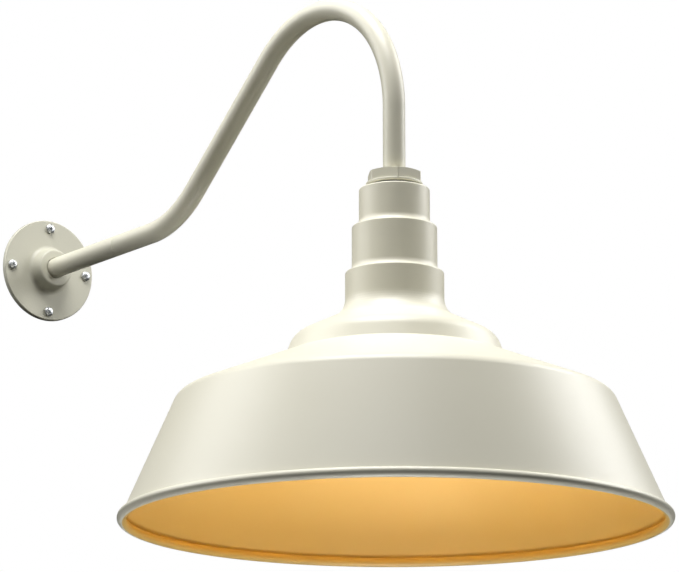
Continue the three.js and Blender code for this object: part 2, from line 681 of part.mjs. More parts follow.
const contactTop = holderCeiling - TOUCH_GAP;
const contact = revolve([
  [0, contactTop],
  [CONTACT_PLATE_RADIUS, contactTop],
  [CONTACT_PLATE_RADIUS, contactTop - CONTACT_PLATE_THICKNESS],
  [CONTACT_RADIUS, contactTop - CONTACT_PLATE_THICKNESS],
  [CONTACT_RADIUS - 1.5, contactTop - CONTACT_HEIGHT],
  [0, contactTop - CONTACT_HEIGHT],
], SMALL_SIDES);
addPiece(lamp, 'centre_contact', contact, brass);

// ---- leads, held by the arm from the wall plate to the terminals

function leadPath(sign) {
  const along = armPath(LEAD_START, TUBE_TAIL - LEAD_FLARE).getSpacedPoints(LEAD_STEPS)
    .map((point) => point.setX(sign * LEAD_OFFSET));
  const end = sign * (TERMINAL_OFFSET - TERMINAL_HEAD_RADIUS - TOUCH_GAP);
  const rest = NECK_TOP + holderTop + LEAD_RADIUS + TOUCH_GAP;
  along.push(
    new THREE.Vector3(sign * LEAD_OFFSET, -LAMP_OUT, rest + 3.6),
    new THREE.Vector3((sign * LEAD_OFFSET + end) / 2, -LAMP_OUT, rest + 0.5),
    new THREE.Vector3(end, -LAMP_OUT, rest),
  );
  return new THREE.CatmullRomCurve3(along, false, 'centripetal');
}

const leadLive = tubeAlong(leadPath(1), LEAD_RADIUS, 0, LEAD_SIDES, LEAD_STEPS);
const leadNeutral = tubeAlong(leadPath(-1), LEAD_RADIUS, 0, LEAD_SIDES, LEAD_STEPS);
addPiece(lantern, 'lead_live', leadLive, blackInsulation);
addPiece(lantern, 'lead_neutral', leadNeutral, whiteInsulation);

// ---- bulb, screwed all the way in

const tipTop = contactTop - CONTACT_HEIGHT - TOUCH_GAP;
const insulatorTop = tipTop - BULB_TIP_HEIGHT - TOUCH_GAP;
const capTop = insulatorTop - BULB_INSULATOR_HEIGHT - TOUCH_GAP;
const capBottom = capTop - BULB_CAP_LENGTH;
const housingBottom = capBottom - BULB_HOUSING_HEIGHT;
const bulbEnd = tipTop - BULB_LENGTH;
const capBore = BULB_CAP_RADIUS - BULB_CAP_WALL;

const bulbTip = revolve([
  [0, tipTop],
  [BULB_TIP_RADIUS * 0.6, tipTop - 0.2],
  [BULB_TIP_RADIUS, tipTop - BULB_TIP_HEIGHT * 0.6],
  [BULB_TIP_RADIUS, tipTop - BULB_TIP_HEIGHT],
  [0, tipTop - BULB_TIP_HEIGHT],
], SMALL_SIDES);
addPiece(lamp, 'bulb_tip', bulbTip, nickelBrass);

const insulator = revolve([
  [0, insulatorTop],
  [BULB_TIP_RADIUS + 1, insulatorTop],
  [capBore - 1.2, insulatorTop - BULB_INSULATOR_HEIGHT],
  [0, insulatorTop - BULB_INSULATOR_HEIGHT],
]);
addPiece(lamp, 'bulb_insulator', insulator, blackGlass);

const cap = revolve([
  [capBore - 1.5, capTop],
  [capBore, capTop],
  [BULB_CAP_RADIUS, capTop - 1],
  [BULB_CAP_RADIUS, capBottom],
  [capBore, capBottom],
  [capBore, capTop - 1.2],
  [capBore - 1.5, capTop - 1.2],
]);
addPiece(lamp, 'bulb_cap', cap, nickelBrass);

const plugRadius = capBore - TOUCH_GAP;
const housing = revolve([
  [0, capTop - 4],
  [plugRadius, capTop - 4],
  [plugRadius, capBottom - TOUCH_GAP],
  [BULB_CAP_RADIUS + 1.5, capBottom - TOUCH_GAP],
  [BULB_CAP_RADIUS + 2.5, capBottom - 4],
  [(BULB_CAP_RADIUS + BULB_HOUSING_RADIUS) / 2, capBottom - BULB_HOUSING_HEIGHT * 0.45],
  [BULB_HOUSING_RADIUS - 1.5, capBottom - BULB_HOUSING_HEIGHT * 0.8],
  [BULB_HOUSING_RADIUS, housingBottom],
  [0, housingBottom],
]);
addPiece(lamp, 'bulb_housing', housing, whitePlastic);

const boardTop = housingBottom - TOUCH_GAP;
const board = disc(BULB_HOUSING_RADIUS - 3, boardTop - 1.6, boardTop, ROUND_SIDES);
addPiece(lamp, 'led_board', board, boardAluminium);

const globeTop = housingBottom - TOUCH_GAP;
const globeMiddle = bulbEnd + BULB_RADIUS;
const globeOuter = [
  [BULB_HOUSING_RADIUS, globeTop],
  [(BULB_HOUSING_RADIUS + BULB_RADIUS) / 2 + 1, (globeTop + globeMiddle) / 2],
  ...turn(0, globeMiddle, BULB_RADIUS, BULB_RADIUS, 0, -90, 5),
];
const globeInner = [
  ...turn(0, globeMiddle, BULB_RADIUS - BULB_GLOBE_WALL, BULB_RADIUS - BULB_GLOBE_WALL, -90, 0, 5),
  [(BULB_HOUSING_RADIUS + BULB_RADIUS) / 2 + 1 - BULB_GLOBE_WALL, (globeTop + globeMiddle) / 2],
  [BULB_HOUSING_RADIUS - BULB_GLOBE_WALL, globeTop],
];
addPiece(lamp, 'bulb_globe', revolve([...globeOuter, ...globeInner]), opalPlastic);

export default lantern;
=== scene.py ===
# %% [markdown]
# # A gooseneck barn lantern
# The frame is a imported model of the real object: every piece has its place and its size there,
# in metres, with +Z up. The wall is the plane y = 0 and the arm leaves it along -Y. This lesson
# gives the pieces their fine surfaces and their finishes. Nothing is moved or resized: each new
# piece takes its place from the box of the frame's piece that it stands for.

# %% Load the frame
import math
import bmesh
import bpy
from mathutils import Matrix, Vector


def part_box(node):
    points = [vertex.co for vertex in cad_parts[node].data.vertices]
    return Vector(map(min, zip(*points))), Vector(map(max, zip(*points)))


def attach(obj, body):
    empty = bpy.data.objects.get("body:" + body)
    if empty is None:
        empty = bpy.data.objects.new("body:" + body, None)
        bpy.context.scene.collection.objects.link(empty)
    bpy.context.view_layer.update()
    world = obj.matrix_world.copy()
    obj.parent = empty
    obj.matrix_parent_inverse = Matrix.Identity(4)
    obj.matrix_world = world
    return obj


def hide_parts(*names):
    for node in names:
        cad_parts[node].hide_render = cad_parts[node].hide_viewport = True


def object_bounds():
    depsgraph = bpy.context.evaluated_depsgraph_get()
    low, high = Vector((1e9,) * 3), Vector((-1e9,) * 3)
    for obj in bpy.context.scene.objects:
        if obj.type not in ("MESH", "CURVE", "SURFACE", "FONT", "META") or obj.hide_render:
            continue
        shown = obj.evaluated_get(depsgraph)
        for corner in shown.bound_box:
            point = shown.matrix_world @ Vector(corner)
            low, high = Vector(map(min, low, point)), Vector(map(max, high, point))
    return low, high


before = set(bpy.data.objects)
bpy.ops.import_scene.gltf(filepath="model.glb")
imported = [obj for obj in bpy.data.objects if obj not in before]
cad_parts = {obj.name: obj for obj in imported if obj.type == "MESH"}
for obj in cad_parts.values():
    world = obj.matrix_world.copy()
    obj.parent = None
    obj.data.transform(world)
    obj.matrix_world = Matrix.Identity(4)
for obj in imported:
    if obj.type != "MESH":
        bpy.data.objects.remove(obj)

CAD_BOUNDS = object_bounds()
MM = 0.001

# %% [markdown]
# ## Where things are
# Two axes carry almost every piece. The wall plate and the first length of the arm are turned
# about an axis that leaves the wall along -Y. The hub, the shade, the lampholder and the bulb are
# turned about the vertical axis under the end of the arm. A piece is made about +Z and then laid
# on its axis, so two matrices are all the placing that the model needs.

# %% The two axes
shade_low, shade_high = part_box("shade")
LAMP_AXIS_Y = (shade_low.y + shade_high.y) / 2
NECK_TOP = shade_high.z
ON_WALL = Matrix.Rotation(math.radians(90), 4, "X")
ON_LAMP = Matrix.Translation((0, LAMP_AXIS_Y, NECK_TOP))
print(f"lamp axis {-LAMP_AXIS_Y / MM:.1f} mm from the wall, top of the neck {NECK_TOP / MM:.1f} mm")


def radius_of(node):
    """Half the width of a round piece of the frame, in metres."""
    low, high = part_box(node)
    return (high.x - low.x) / 2


def middle_of(node):
    low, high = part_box(node)
    return (low + high) / 2


def heights_on_wall(node):
    """Nearest and furthest distance of a piece from the wall."""
    low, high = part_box(node)
    return -high.y, -low.y


def heights_on_lamp(node):
    """Lowest and highest point of a piece, measured from the top of the neck."""
    low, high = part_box(node)
    return low.z - NECK_TOP, high.z - NECK_TOP


# %% [markdown]
# ## Outlines
# A lathe needs half of a section: a list of (radius, height) points. Round stretches are arcs with
# many short steps, because a polished edge shows every corner as a kink in its highlight. A smooth
# surface also needs a pair of points just beside each arc, so that the shading of the arc doesn't
# spread over the flat next to it.

# %% Arcs, fillets and offsets
ARC_STEP = math.radians(7)
SUPPORT = 0.35 * MM


def arc(centre, radii, start, end):
    """An elliptical arc about centre, from one angle to another in degrees."""
    start, end = math.radians(start), math.radians(end)
    steps = max(2, math.ceil(abs(end - start) / ARC_STEP))
    angles = [start + (end - start) * i / steps for i in range(steps + 1)]
    return [(centre[0] + radii[0] * math.cos(a), centre[1] + radii[1] * math.sin(a)) for a in angles]


def fillet(before, corner, after, radius):
    """The arc that rounds a corner between its two neighbours."""
    at = Vector(corner)
    back = (Vector(before) - at).normalized()
    on = (Vector(after) - at).normalized()
    half = back.angle(on) / 2
    centre = at + (back + on).normalized() * radius / math.sin(half)
    first = at + back * radius / math.tan(half) - centre
    last = at + on * radius / math.tan(half) - centre
    start = math.degrees(math.atan2(first.y, first.x))
    sweep = math.degrees(math.atan2(last.y, last.x)) - start
    sweep -= 360 * round(sweep / 360)
    return arc(centre, (radius, radius), start, start + sweep)


def rounded(corners):
    """A closed outline from (radius, height, rounding) corners."""
    points = []
    for i, (r, h, rounding) in enumerate(corners):
        before = corners[i - 1][:2]
        after = corners[(i + 1) % len(corners)][:2]
        points += fillet(before, (r, h), after, rounding) if rounding else [(r, h)]
    return points


def offset(points, distance):
    """An open outline moved to the right of its own direction."""
    moved = []
    for i, point in enumerate(points):
        before = Vector(points[max(i - 1, 0)])
        after = Vector(points[min(i + 1, len(points) - 1)])
        here = Vector(point)
        first = (here - before).normalized() if i else (after - here).normalized()
        second = (after - here).normalized() if i < len(points) - 1 else first
        side = Vector((first.y + second.y, -first.x - second.x)).normalized()
        moved.append(tuple(here + side * distance / max(side.dot(Vector((first.y, -first.x))), 0.3)))
    return moved


def supported(points):
    """Adds a point just inside each end of every long straight stretch of a closed outline."""
    result = []
    for i, point in enumerate(points):
        here, after = Vector(point), Vector(points[(i + 1) % len(points)])
        length = (after - here).length
        result.append(point)
        if length > 4 * SUPPORT:
            result.append(tuple(here.lerp(after, SUPPORT / length)))
            result.append(tuple(after.lerp(here, SUPPORT / length)))
    return result


print("outline helpers ready")

# %% [markdown]
# ## One way to add a node
# Node trees for shapes and for finishes are both built in code. One small function adds a node,
# sets its options, and fills each input with a value or with a link from another node.

# %% The node helper
def add(tree, kind, inputs=None, **settings):
    """Adds a node; a value that is a socket becomes a link."""
    node = tree.nodes.new(kind)
    node.location = (180 * (len(tree.nodes) % 12), -220 * (len(tree.nodes) // 12))
    for option, value in settings.items():
        setattr(node, option, value)
    for key, value in (inputs or {}).items():
        if isinstance(value, bpy.types.NodeSocket):
            tree.links.new(value, node.inputs[key])
        else:
            node.inputs[key].default_value = value
    return node


def shape_tree(name, sockets):
    """An empty Geometry Nodes tree with named inputs, and its input and output nodes."""
    tree = bpy.data.node_groups.new(name, "GeometryNodeTree")
    tree.interface.new_socket("Geometry", in_out="INPUT", socket_type="NodeSocketGeometry")
    for label, kind, default in sockets:
        socket = tree.interface.new_socket(label, in_out="INPUT", socket_type=kind)
        if default is not None:
            socket.default_value = default
    tree.interface.new_socket("Geometry", in_out="OUTPUT", socket_type="NodeSocketGeometry")
    return tree, add(tree, "NodeGroupInput").outputs


def finish_tree(tree, geometry, material):
    """Ends a tree the way the export needs: real geometry with its material on it."""
    real = add(tree, "GeometryNodeRealizeInstances", {"Geometry": geometry})
    worn = add(tree, "GeometryNodeSetMaterial", {"Geometry": real.outputs[0], "Material": material})
    add(tree, "NodeGroupOutput", {"Geometry": worn.outputs[0]})
    return tree


print("node helpers ready")

# %% [markdown]
# ## A lathe in Geometry Nodes
# The shade was spun on a lathe, and screws, washers and the bulb are round too. A Spin in mesh code
# would do, and so would a Screw modifier. A node tree is chosen because its facets can be set by
# name for each piece. It makes a grid with one row for each point of the outline, looks the point up
# by its number, and turns it about +Z. A rolled thread is the same surface with its radius
# rising and falling along a helix, so the tree can also press a thread into the wall.

# %% The lathe tree
FACETS = 96
MERGE = 1e-6


def build_lathe():
    tree, given = shape_tree("lathe", [
        ("Facets", "NodeSocketInt", FACETS),
        ("Thread Depth", "NodeSocketFloat", 0.0),
        ("Thread Pitch", "NodeSocketFloat", 1.0),
        ("Thread Low", "NodeSocketFloat", 0.0),
        ("Thread High", "NodeSocketFloat", 0.0),
        ("Finish", "NodeSocketMaterial", None),
    ])
    sizes = add(tree, "GeometryNodeAttributeDomainSize", {"Geometry": given["Geometry"]}).outputs
    count = sizes["Point Count"]
    rows = add(tree, "ShaderNodeMath", {0: count, 1: 1.0}, operation="ADD").outputs[0]
    columns = add(tree, "ShaderNodeMath", {0: given["Facets"], 1: 1.0}, operation="ADD").outputs[0]
    grid = add(tree, "GeometryNodeMeshGrid", {"Vertices X": rows, "Vertices Y": columns}).outputs["Mesh"]
    index = add(tree, "GeometryNodeInputIndex").outputs[0]
    row = add(tree, "ShaderNodeMath", {0: index, 1: columns}, operation="DIVIDE").outputs[0]
    row = add(tree, "ShaderNodeMath", {0: row}, operation="FLOOR").outputs[0]
    column = add(tree, "ShaderNodeMath", {0: index, 1: columns}, operation="MODULO").outputs[0]
    which = add(tree, "ShaderNodeMath", {0: row, 1: count}, operation="MODULO").outputs[0]
    place = add(tree, "GeometryNodeInputPosition").outputs[0]
    picked = add(
        tree, "GeometryNodeSampleIndex",
        {"Geometry": given["Geometry"], "Value": place, "Index": which},
        data_type="FLOAT_VECTOR", domain="POINT",
    ).outputs["Value"]
    point = add(tree, "ShaderNodeSeparateXYZ", {0: picked}).outputs
    turn = add(tree, "ShaderNodeMath", {0: column, 1: given["Facets"]}, operation="DIVIDE").outputs[0]
    angle = add(tree, "ShaderNodeMath", {0: turn, 1: 2 * math.pi}, operation="MULTIPLY").outputs[0]

    # The thread: radius less depth * (1 - cos(2 pi (height / pitch - turn))) / 2, between two heights.
    pitch = given["Thread Pitch"]
    along = add(tree, "ShaderNodeMath", {0: point["Z"], 1: pitch}, operation="DIVIDE").outputs[0]
    phase = add(tree, "ShaderNodeMath", {0: along, 1: turn}, operation="SUBTRACT").outputs[0]
    phase = add(tree, "ShaderNodeMath", {0: phase, 1: 2 * math.pi}, operation="MULTIPLY").outputs[0]
    wave = add(tree, "ShaderNodeMath", {0: phase}, operation="COSINE").outputs[0]
    dip = add(tree, "ShaderNodeMath", {0: 0.5, 1: wave}, operation="SUBTRACT").outputs[0]
    dip = add(tree, "ShaderNodeMath", {0: dip, 1: 0.5}, operation="ADD").outputs[0]
    dip = add(tree, "ShaderNodeMath", {0: dip, 1: 0.5}, operation="MULTIPLY").outputs[0]
    run_in = add(tree, "ShaderNodeMath", {0: pitch, 1: 0.5}, operation="MULTIPLY").outputs[0]
    low, high = given["Thread Low"], given["Thread High"]
    low_end = add(tree, "ShaderNodeMath", {0: low, 1: run_in}, operation="ADD").outputs[0]
    high_end = add(tree, "ShaderNodeMath", {0: high, 1: run_in}, operation="SUBTRACT").outputs[0]
    rise = add(tree, "ShaderNodeMapRange", {
        "Value": point["Z"], "From Min": low, "From Max": low_end,
    }, interpolation_type="SMOOTHSTEP").outputs["Result"]
    fall = add(tree, "ShaderNodeMapRange", {
        "Value": point["Z"], "From Min": high_end, "From Max": high, "To Min": 1.0, "To Max": 0.0,
    }, interpolation_type="SMOOTHSTEP").outputs["Result"]
    inside = add(tree, "ShaderNodeMath", {0: rise, 1: fall}, operation="MULTIPLY").outputs[0]
    cut = add(tree, "ShaderNodeMath", {0: dip, 1: inside}, operation="MULTIPLY").outputs[0]
    cut = add(tree, "ShaderNodeMath", {0: cut, 1: given["Thread Depth"]}, operation="MULTIPLY").outputs[0]
    radius = add(tree, "ShaderNodeMath", {0: point["X"], 1: cut}, operation="SUBTRACT").outputs[0]

    east = add(tree, "ShaderNodeMath", {0: angle}, operation="COSINE").outputs[0]
    north = add(tree, "ShaderNodeMath", {0: angle}, operation="SINE").outputs[0]
    x = add(tree, "ShaderNodeMath", {0: radius, 1: east}, operation="MULTIPLY").outputs[0]
    y = add(tree, "ShaderNodeMath", {0: radius, 1: north}, operation="MULTIPLY").outputs[0]
    turned = add(tree, "ShaderNodeCombineXYZ", {"X": x, "Y": y, "Z": point["Z"]}).outputs[0]
    wall = add(tree, "GeometryNodeSetPosition", {"Geometry": grid, "Position": turned}).outputs[0]
    closed = add(tree, "GeometryNodeMergeByDistance", {"Geometry": wall, "Distance": MERGE}).outputs[0]
    return finish_tree(tree, closed, given["Finish"])


LATHE = build_lathe()
print("lathe tree:", len(LATHE.nodes), "nodes")

# %% [markdown]
# ## From a tree to a plain mesh
# A modifier is only the recipe. The evaluated result is copied into an ordinary mesh, the modifier
# is taken off, doubled points are merged, and the piece is laid on its axis with its object left
# at the origin. Faces whose shared edge turns by more than 35 degrees keep a crisp edge.

# %% Making and finishing a piece
CRISP = math.radians(35)


def put_in_scene(name, data):
    thing = bpy.data.objects.new(name, data)
    bpy.context.scene.collection.objects.link(thing)
    return thing


def baked(piece):
    """Makes what the modifiers build into the piece's own plain mesh, and takes them off."""
    bpy.context.view_layer.update()
    evaluated = piece.evaluated_get(bpy.context.evaluated_depsgraph_get())
    result = bpy.data.meshes.new_from_object(evaluated)
    piece.modifiers.clear()
    piece.data = result
    return piece


def outline_mesh(name, points):
    mesh = bpy.data.meshes.new(name)
    mesh.from_pydata([(r, 0, h) for r, h in points], [], [])
    return mesh


def made_with(tree, mesh, name, **values):
    """Runs a tree on a mesh and returns its result as a plain object; names use _ for a space."""
    piece = put_in_scene(name, mesh)
    recipe = piece.modifiers.new("recipe", "NODES")
    recipe.node_group = tree
    for item in tree.interface.items_tree:
        key = item.name.replace(" ", "_")
        if item.in_out == "INPUT" and key in values:
            recipe[item.identifier] = values[key]
    return baked(piece)


def settle(piece, matrix=None):
    """Merges doubles, turns every face outwards, marks crisp edges and lays the piece on its axis."""
    if matrix is not None:
        piece.data.transform(matrix)
    work = bmesh.new()
    work.from_mesh(piece.data)
    bmesh.ops.remove_doubles(work, verts=work.verts, dist=2 * MERGE)
    bmesh.ops.dissolve_degenerate(work, edges=work.edges, dist=MERGE)
    loose = [edge for edge in work.edges if not edge.link_faces]
    bmesh.ops.delete(work, geom=loose, context="EDGES")
    bmesh.ops.recalc_face_normals(work, faces=work.faces)
    if work.calc_volume(signed=True) < 0:
        bmesh.ops.reverse_faces(work, faces=work.faces)
    for face in work.faces:
        face.smooth = True
    for edge in work.edges:
        edge.smooth = len(edge.link_faces) == 2 and edge.calc_face_angle(0) < CRISP
    work.to_mesh(piece.data)
    work.free()
    piece.data.update()
    return piece


def turned(name, points, finish, matrix=None, facets=FACETS, support=True, **thread):
    """A round piece from its closed outline, laid on an axis."""
    seed = outline_mesh(name, supported(points) if support else points)
    piece = made_with(LATHE, seed, name, Facets=facets, Finish=finish, **thread)
    return settle(piece, matrix)


def flat_ring(name, node, low, high, bore, inner_round, outer_round, finish, matrix):
    """A washer or gasket as wide as its node, with every edge rounded."""
    rim = radius_of(node)
    return turned(name, rounded([
        (bore, low, inner_round), (rim, low, outer_round),
        (rim, high, outer_round), (bore, high, inner_round),
    ]), finish, matrix)


def cut_with(piece, tools, operation="DIFFERENCE"):
    """Applies one boolean for each tool and removes the tools."""
    for tool in tools:
        cut = piece.modifiers.new("cut", "BOOLEAN")
        cut.operation = operation
        cut.solver = "EXACT"
        cut.object = tool
    baked(piece)
    for tool in tools:
        bpy.data.objects.remove(tool)
    return piece


def stands_for(piece, body, slot, *nodes):
    """Rides on a body in place of the frame's own pieces, which it hides; the slot is not used."""
    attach(piece, body)
    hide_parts(*nodes)
    print(f"{piece.name}: {len(piece.data.polygons)} faces for {', '.join(nodes) or 'no node'}")
    return piece


print("making helpers ready")

# %% [markdown]
# ## Colours
# Colours are written as the sRGB values that a colour card gives. The renderer works in linear
# light, so one function turns them.

# %% sRGB to linear
def hex_colour(code):
    channels = [int(code[i:i + 2], 16) / 255 for i in (1, 3, 5)]
    linear = [c / 12.92 if c <= 0.04045 else ((c + 0.055) / 1.055) ** 2.4 for c in channels]
    return (*linear, 1.0)


def new_finish(name):
    """An empty material with its Principled shader, and Object coordinates to hang patterns on."""
    material = bpy.data.materials.new(name)
    material.use_nodes = True
    tree = material.node_tree
    tree.nodes.clear()
    shader = add(tree, "ShaderNodeBsdfPrincipled")
    add(tree, "ShaderNodeOutputMaterial", {"Surface": shader.outputs[0]})
    where = add(tree, "ShaderNodeTexCoord").outputs["Object"]
    return material, tree, shader, where


def connect(tree, source, socket):
    tree.links.new(source, socket)


def two_tone(tree, shader, where, scale, detail, light, dark):
    """Lets the base colour drift between two tones, and returns the mixed colour."""
    drift = add(tree, "ShaderNodeTexNoise", {"Vector": where, "Scale": scale, "Detail": detail})
    tone = add(tree, "ShaderNodeMix", {
        "Factor": drift.outputs["Fac"], 6: hex_colour(light), 7: hex_colour(dark),
    }, data_type="RGBA")
    connect(tree, tone.outputs[2], shader.inputs["Base Color"])
    return tone.outputs[2]


def relief(tree, shader, pattern, smoothest, roughest, strength, depth):
    """Lets one noise pattern set both the roughness and a fine relief."""
    gloss = add(tree, "ShaderNodeMapRange", {
        "Value": pattern.outputs["Fac"], "To Min": smoothest, "To Max": roughest,
    })
    connect(tree, gloss.outputs["Result"], shader.inputs["Roughness"])
    bump = add(tree, "ShaderNodeBump", {
        "Height": pattern.outputs["Fac"], "Strength": strength, "Distance": depth,
    })
    connect(tree, bump.outputs[0], shader.inputs["Normal"])


print("mid grey is", [round(c, 3) for c in hex_colour("#808080")])

# %% [markdown]
# ## Powder coat
# The lantern is coated in cream polyester powder. The powder melts and flows in the oven, and it
# doesn't level fully: the film keeps a soft orange peel about 2 mm across and a few hundredths
# of a millimetre high, which breaks up the edges of highlights. The gloss is satin. On the sand-cast
# wall plate the grain of the casting shows through the film, so that finish gets a second, finer and
# rougher bump. The arm, the hub nut and the plate wear the same cream darkened: that is painted
# shade, which makes them duller beside the shade than the lights alone do.

# %% Cream powder coat, on sheet and on castings
ORANGE_PEEL = 2.2 * MM
CAST_GRAIN = 1.1 * MM
SHADE_CREAM = ("#E9E6D5", "#E3DFCB")
# The same cream darkened, as painted shade: on the arm and the hub nut, and darker still on the plate.
ARM_CREAM_SHADED = ("#DCD9C8", "#D5D2BF")
CAST_CREAM_SHADED = ("#C6C4B4", "#BFBDAC")


def powder_coat(name, full, thin, peel, grain):
    material, tree, shader, where = new_finish(name)
    # The film is a little thinner and warmer in broad drifts.
    two_tone(tree, shader, where, scale=9.0, detail=2.0, light=full, dark=thin)
    flow = add(tree, "ShaderNodeTexNoise", {
        "Vector": where, "Scale": 0.6 / ORANGE_PEEL, "Detail": 1.5, "Roughness": 0.4,
    })
    satin = add(tree, "ShaderNodeMapRange", {
        "Value": flow.outputs["Fac"], "From Min": 0.3, "From Max": 0.7, "To Min": 0.36, "To Max": 0.44,
    })
    connect(tree, satin.outputs["Result"], shader.inputs["Roughness"])
    skin = add(tree, "ShaderNodeBump", {
        "Height": flow.outputs["Fac"], "Strength": peel, "Distance": 0.05 * MM,
    })
    surface = skin
    if grain:
        sand = add(tree, "ShaderNodeTexNoise", {
            "Vector": where, "Scale": 0.6 / CAST_GRAIN, "Detail": 4.0, "Roughness": 0.65,
        })
        surface = add(tree, "ShaderNodeBump", {
            "Height": sand.outputs["Fac"], "Strength": grain, "Distance": 0.12 * MM,
            "Normal": skin.outputs[0],
        })
    connect(tree, surface.outputs[0], shader.inputs["Normal"])
    return material


powder_on_sheet = powder_coat("cream powder coat on spun steel", *SHADE_CREAM, peel=0.35, grain=0)
# These two coats carry the darkened creams, so they paint shade onto the arm, the hub nut and the plate.
shaded_powder_on_tube = powder_coat("cream powder coat on drawn tube", *ARM_CREAM_SHADED, peel=0.3, grain=0)
shaded_powder_on_casting = powder_coat("cream powder coat on a casting", *CAST_CREAM_SHADED, peel=0.4, grain=0.55)
print("three powder coats")

# %% [markdown]
# ## Gold enamel
# The inside of the shade is sprayed gold, to warm the light. The sheet was pressed against a turning
# form by a roller, and that leaves fine rings, about 1.6 mm apart here. They show through the thin
# enamel as a faint ripple, so the pattern follows the way out and down the sheet from the axis.

# %% Gold enamel over spun rings
SPIN_RING = 1.6 * MM


def gold_enamel():
    material, tree, shader, where = new_finish("gold enamel inside the shade")
    centred = add(tree, "ShaderNodeMapping", {"Vector": where, "Location": (0, -LAMP_AXIS_Y, 0)})
    part = add(tree, "ShaderNodeSeparateXYZ", {0: centred.outputs[0]}).outputs
    flat = add(tree, "ShaderNodeCombineXYZ", {"X": part["X"], "Y": part["Y"]})
    radius = add(tree, "ShaderNodeVectorMath", {0: flat.outputs[0]}, operation="LENGTH").outputs["Value"]
    drop = add(tree, "ShaderNodeMath", {0: radius, 1: part["Z"]}, operation="SUBTRACT").outputs[0]
    rings = add(tree, "ShaderNodeTexNoise", {
        "W": drop, "Scale": 1.0 / SPIN_RING, "Detail": 2.0,
    }, noise_dimensions="1D")
    two_tone(tree, shader, where, scale=14.0, detail=3.0, light="#E8C474", dark="#E0B966")
    relief(tree, shader, rings, smoothest=0.38, roughest=0.5, strength=0.25, depth=0.04 * MM)
    return material


gold_inside = gold_enamel()
print("gold enamel")

# %% [markdown]
# ## Bare metals
# The screws are steel with a bright zinc plate, the contacts are brass and the bulb's cap is
# nickel-plated. A metal is all reflection, so its look is its roughness: fine marks from handling,
# drawn here as noise, over a slight change of tone. Metal keeps its default IOR.

# %% Plated and plain metals
def bare_metal(name, light, dark, roughness, spread, grain):
    material, tree, shader, where = new_finish(name)
    shader.inputs["Metallic"].default_value = 1.0
    two_tone(tree, shader, where, scale=180.0, detail=4.0, light=light, dark=dark)
    scratch = add(tree, "ShaderNodeTexNoise", {"Vector": where, "Scale": 1.0 / grain, "Detail": 3.0})
    low, high = roughness - spread, roughness + spread
    relief(tree, shader, scratch, low, high, strength=0.15, depth=0.02 * MM)
    return material


zinc = bare_metal("bright zinc-plated steel", "#E4E6E7", "#CFD3D6", 0.4, 0.08, 0.5 * MM)
green_zinc = bare_metal("green-dyed zinc plate", "#4F9A5F", "#3B7F4B", 0.34, 0.08, 0.5 * MM)
brass_plain = bare_metal("plain brass, handled", "#D3AE66", "#B88F4B", 0.32, 0.1, 0.6 * MM)
nickel = bare_metal("nickel-plated brass cap", "#D8D2C6", "#C2BBAE", 0.24, 0.07, 0.7 * MM)
board_metal = bare_metal("bare aluminium board", "#DEE0E2", "#C8CBCE", 0.38, 0.08, 0.4 * MM)
print("five metals")

# %% [markdown]
# ## Rubber, porcelain and plastics
# These are dielectrics with one colour through the body. What tells them apart is the surface:
# sponge rubber is matt and pitted, glazed porcelain is glassy with a slow ripple in the glaze,
# moulded plastic is even with a fine spark-eroded grain, and the bulb's diffuser is milky, so a
# little light travels under its skin.

# %% Non-metals
def moulded(name, light, dark, roughness, grain, depth, ior=1.5, subsurface=0.0):
    material, tree, shader, where = new_finish(name)
    shader.inputs["IOR"].default_value = ior
    shader.inputs["Subsurface Weight"].default_value = subsurface
    shader.inputs["Subsurface Radius"].default_value = (0.004, 0.0035, 0.003)
    two_tone(tree, shader, where, scale=60.0, detail=2.0, light=light, dark=dark)
    texture = add(tree, "ShaderNodeTexNoise", {"Vector": where, "Scale": 0.6 / grain, "Detail": 3.0})
    low, high = roughness * 0.85, roughness * 1.15
    relief(tree, shader, texture, low, high, strength=0.4, depth=depth)
    return material


sponge_rubber = moulded("black sponge rubber", "#2E2E2D", "#232322", 0.85, 0.6 * MM, 0.12 * MM)
glazed = moulded("white glazed porcelain", "#F3F0E8", "#EBE7DD", 0.16, 6 * MM, 0.05 * MM, ior=1.52)
black_glass = moulded("black glass insulator", "#17171A", "#0E0E10", 0.14, 4 * MM, 0.03 * MM, ior=1.52)
white_plastic = moulded("white moulded plastic", "#F2F2EE", "#EAEAE5", 0.42, 0.5 * MM, 0.02 * MM)
diffuser = moulded("opal diffuser", "#FBFAF5", "#F6F4ED", 0.32, 0.8 * MM, 0.01 * MM, subsurface=0.35)
black_wire = moulded("black wire insulation", "#1C1C1E", "#151517", 0.45, 0.8 * MM, 0.02 * MM)
white_wire = moulded("white wire insulation", "#EAE9E5", "#DEDDD8", 0.45, 0.8 * MM, 0.02 * MM)
print("seven non-metals")

# %% [markdown]
# ## Wall plate
# The plate is a sand casting: a disc with a tapered boss in the middle, hollowed at the back for
# the wires. It is turned from its outline, because it is round, and the screw holes are then cut
# through. The mouth of the boss has a small chamfer, so a thin dark gap shows round the arm.

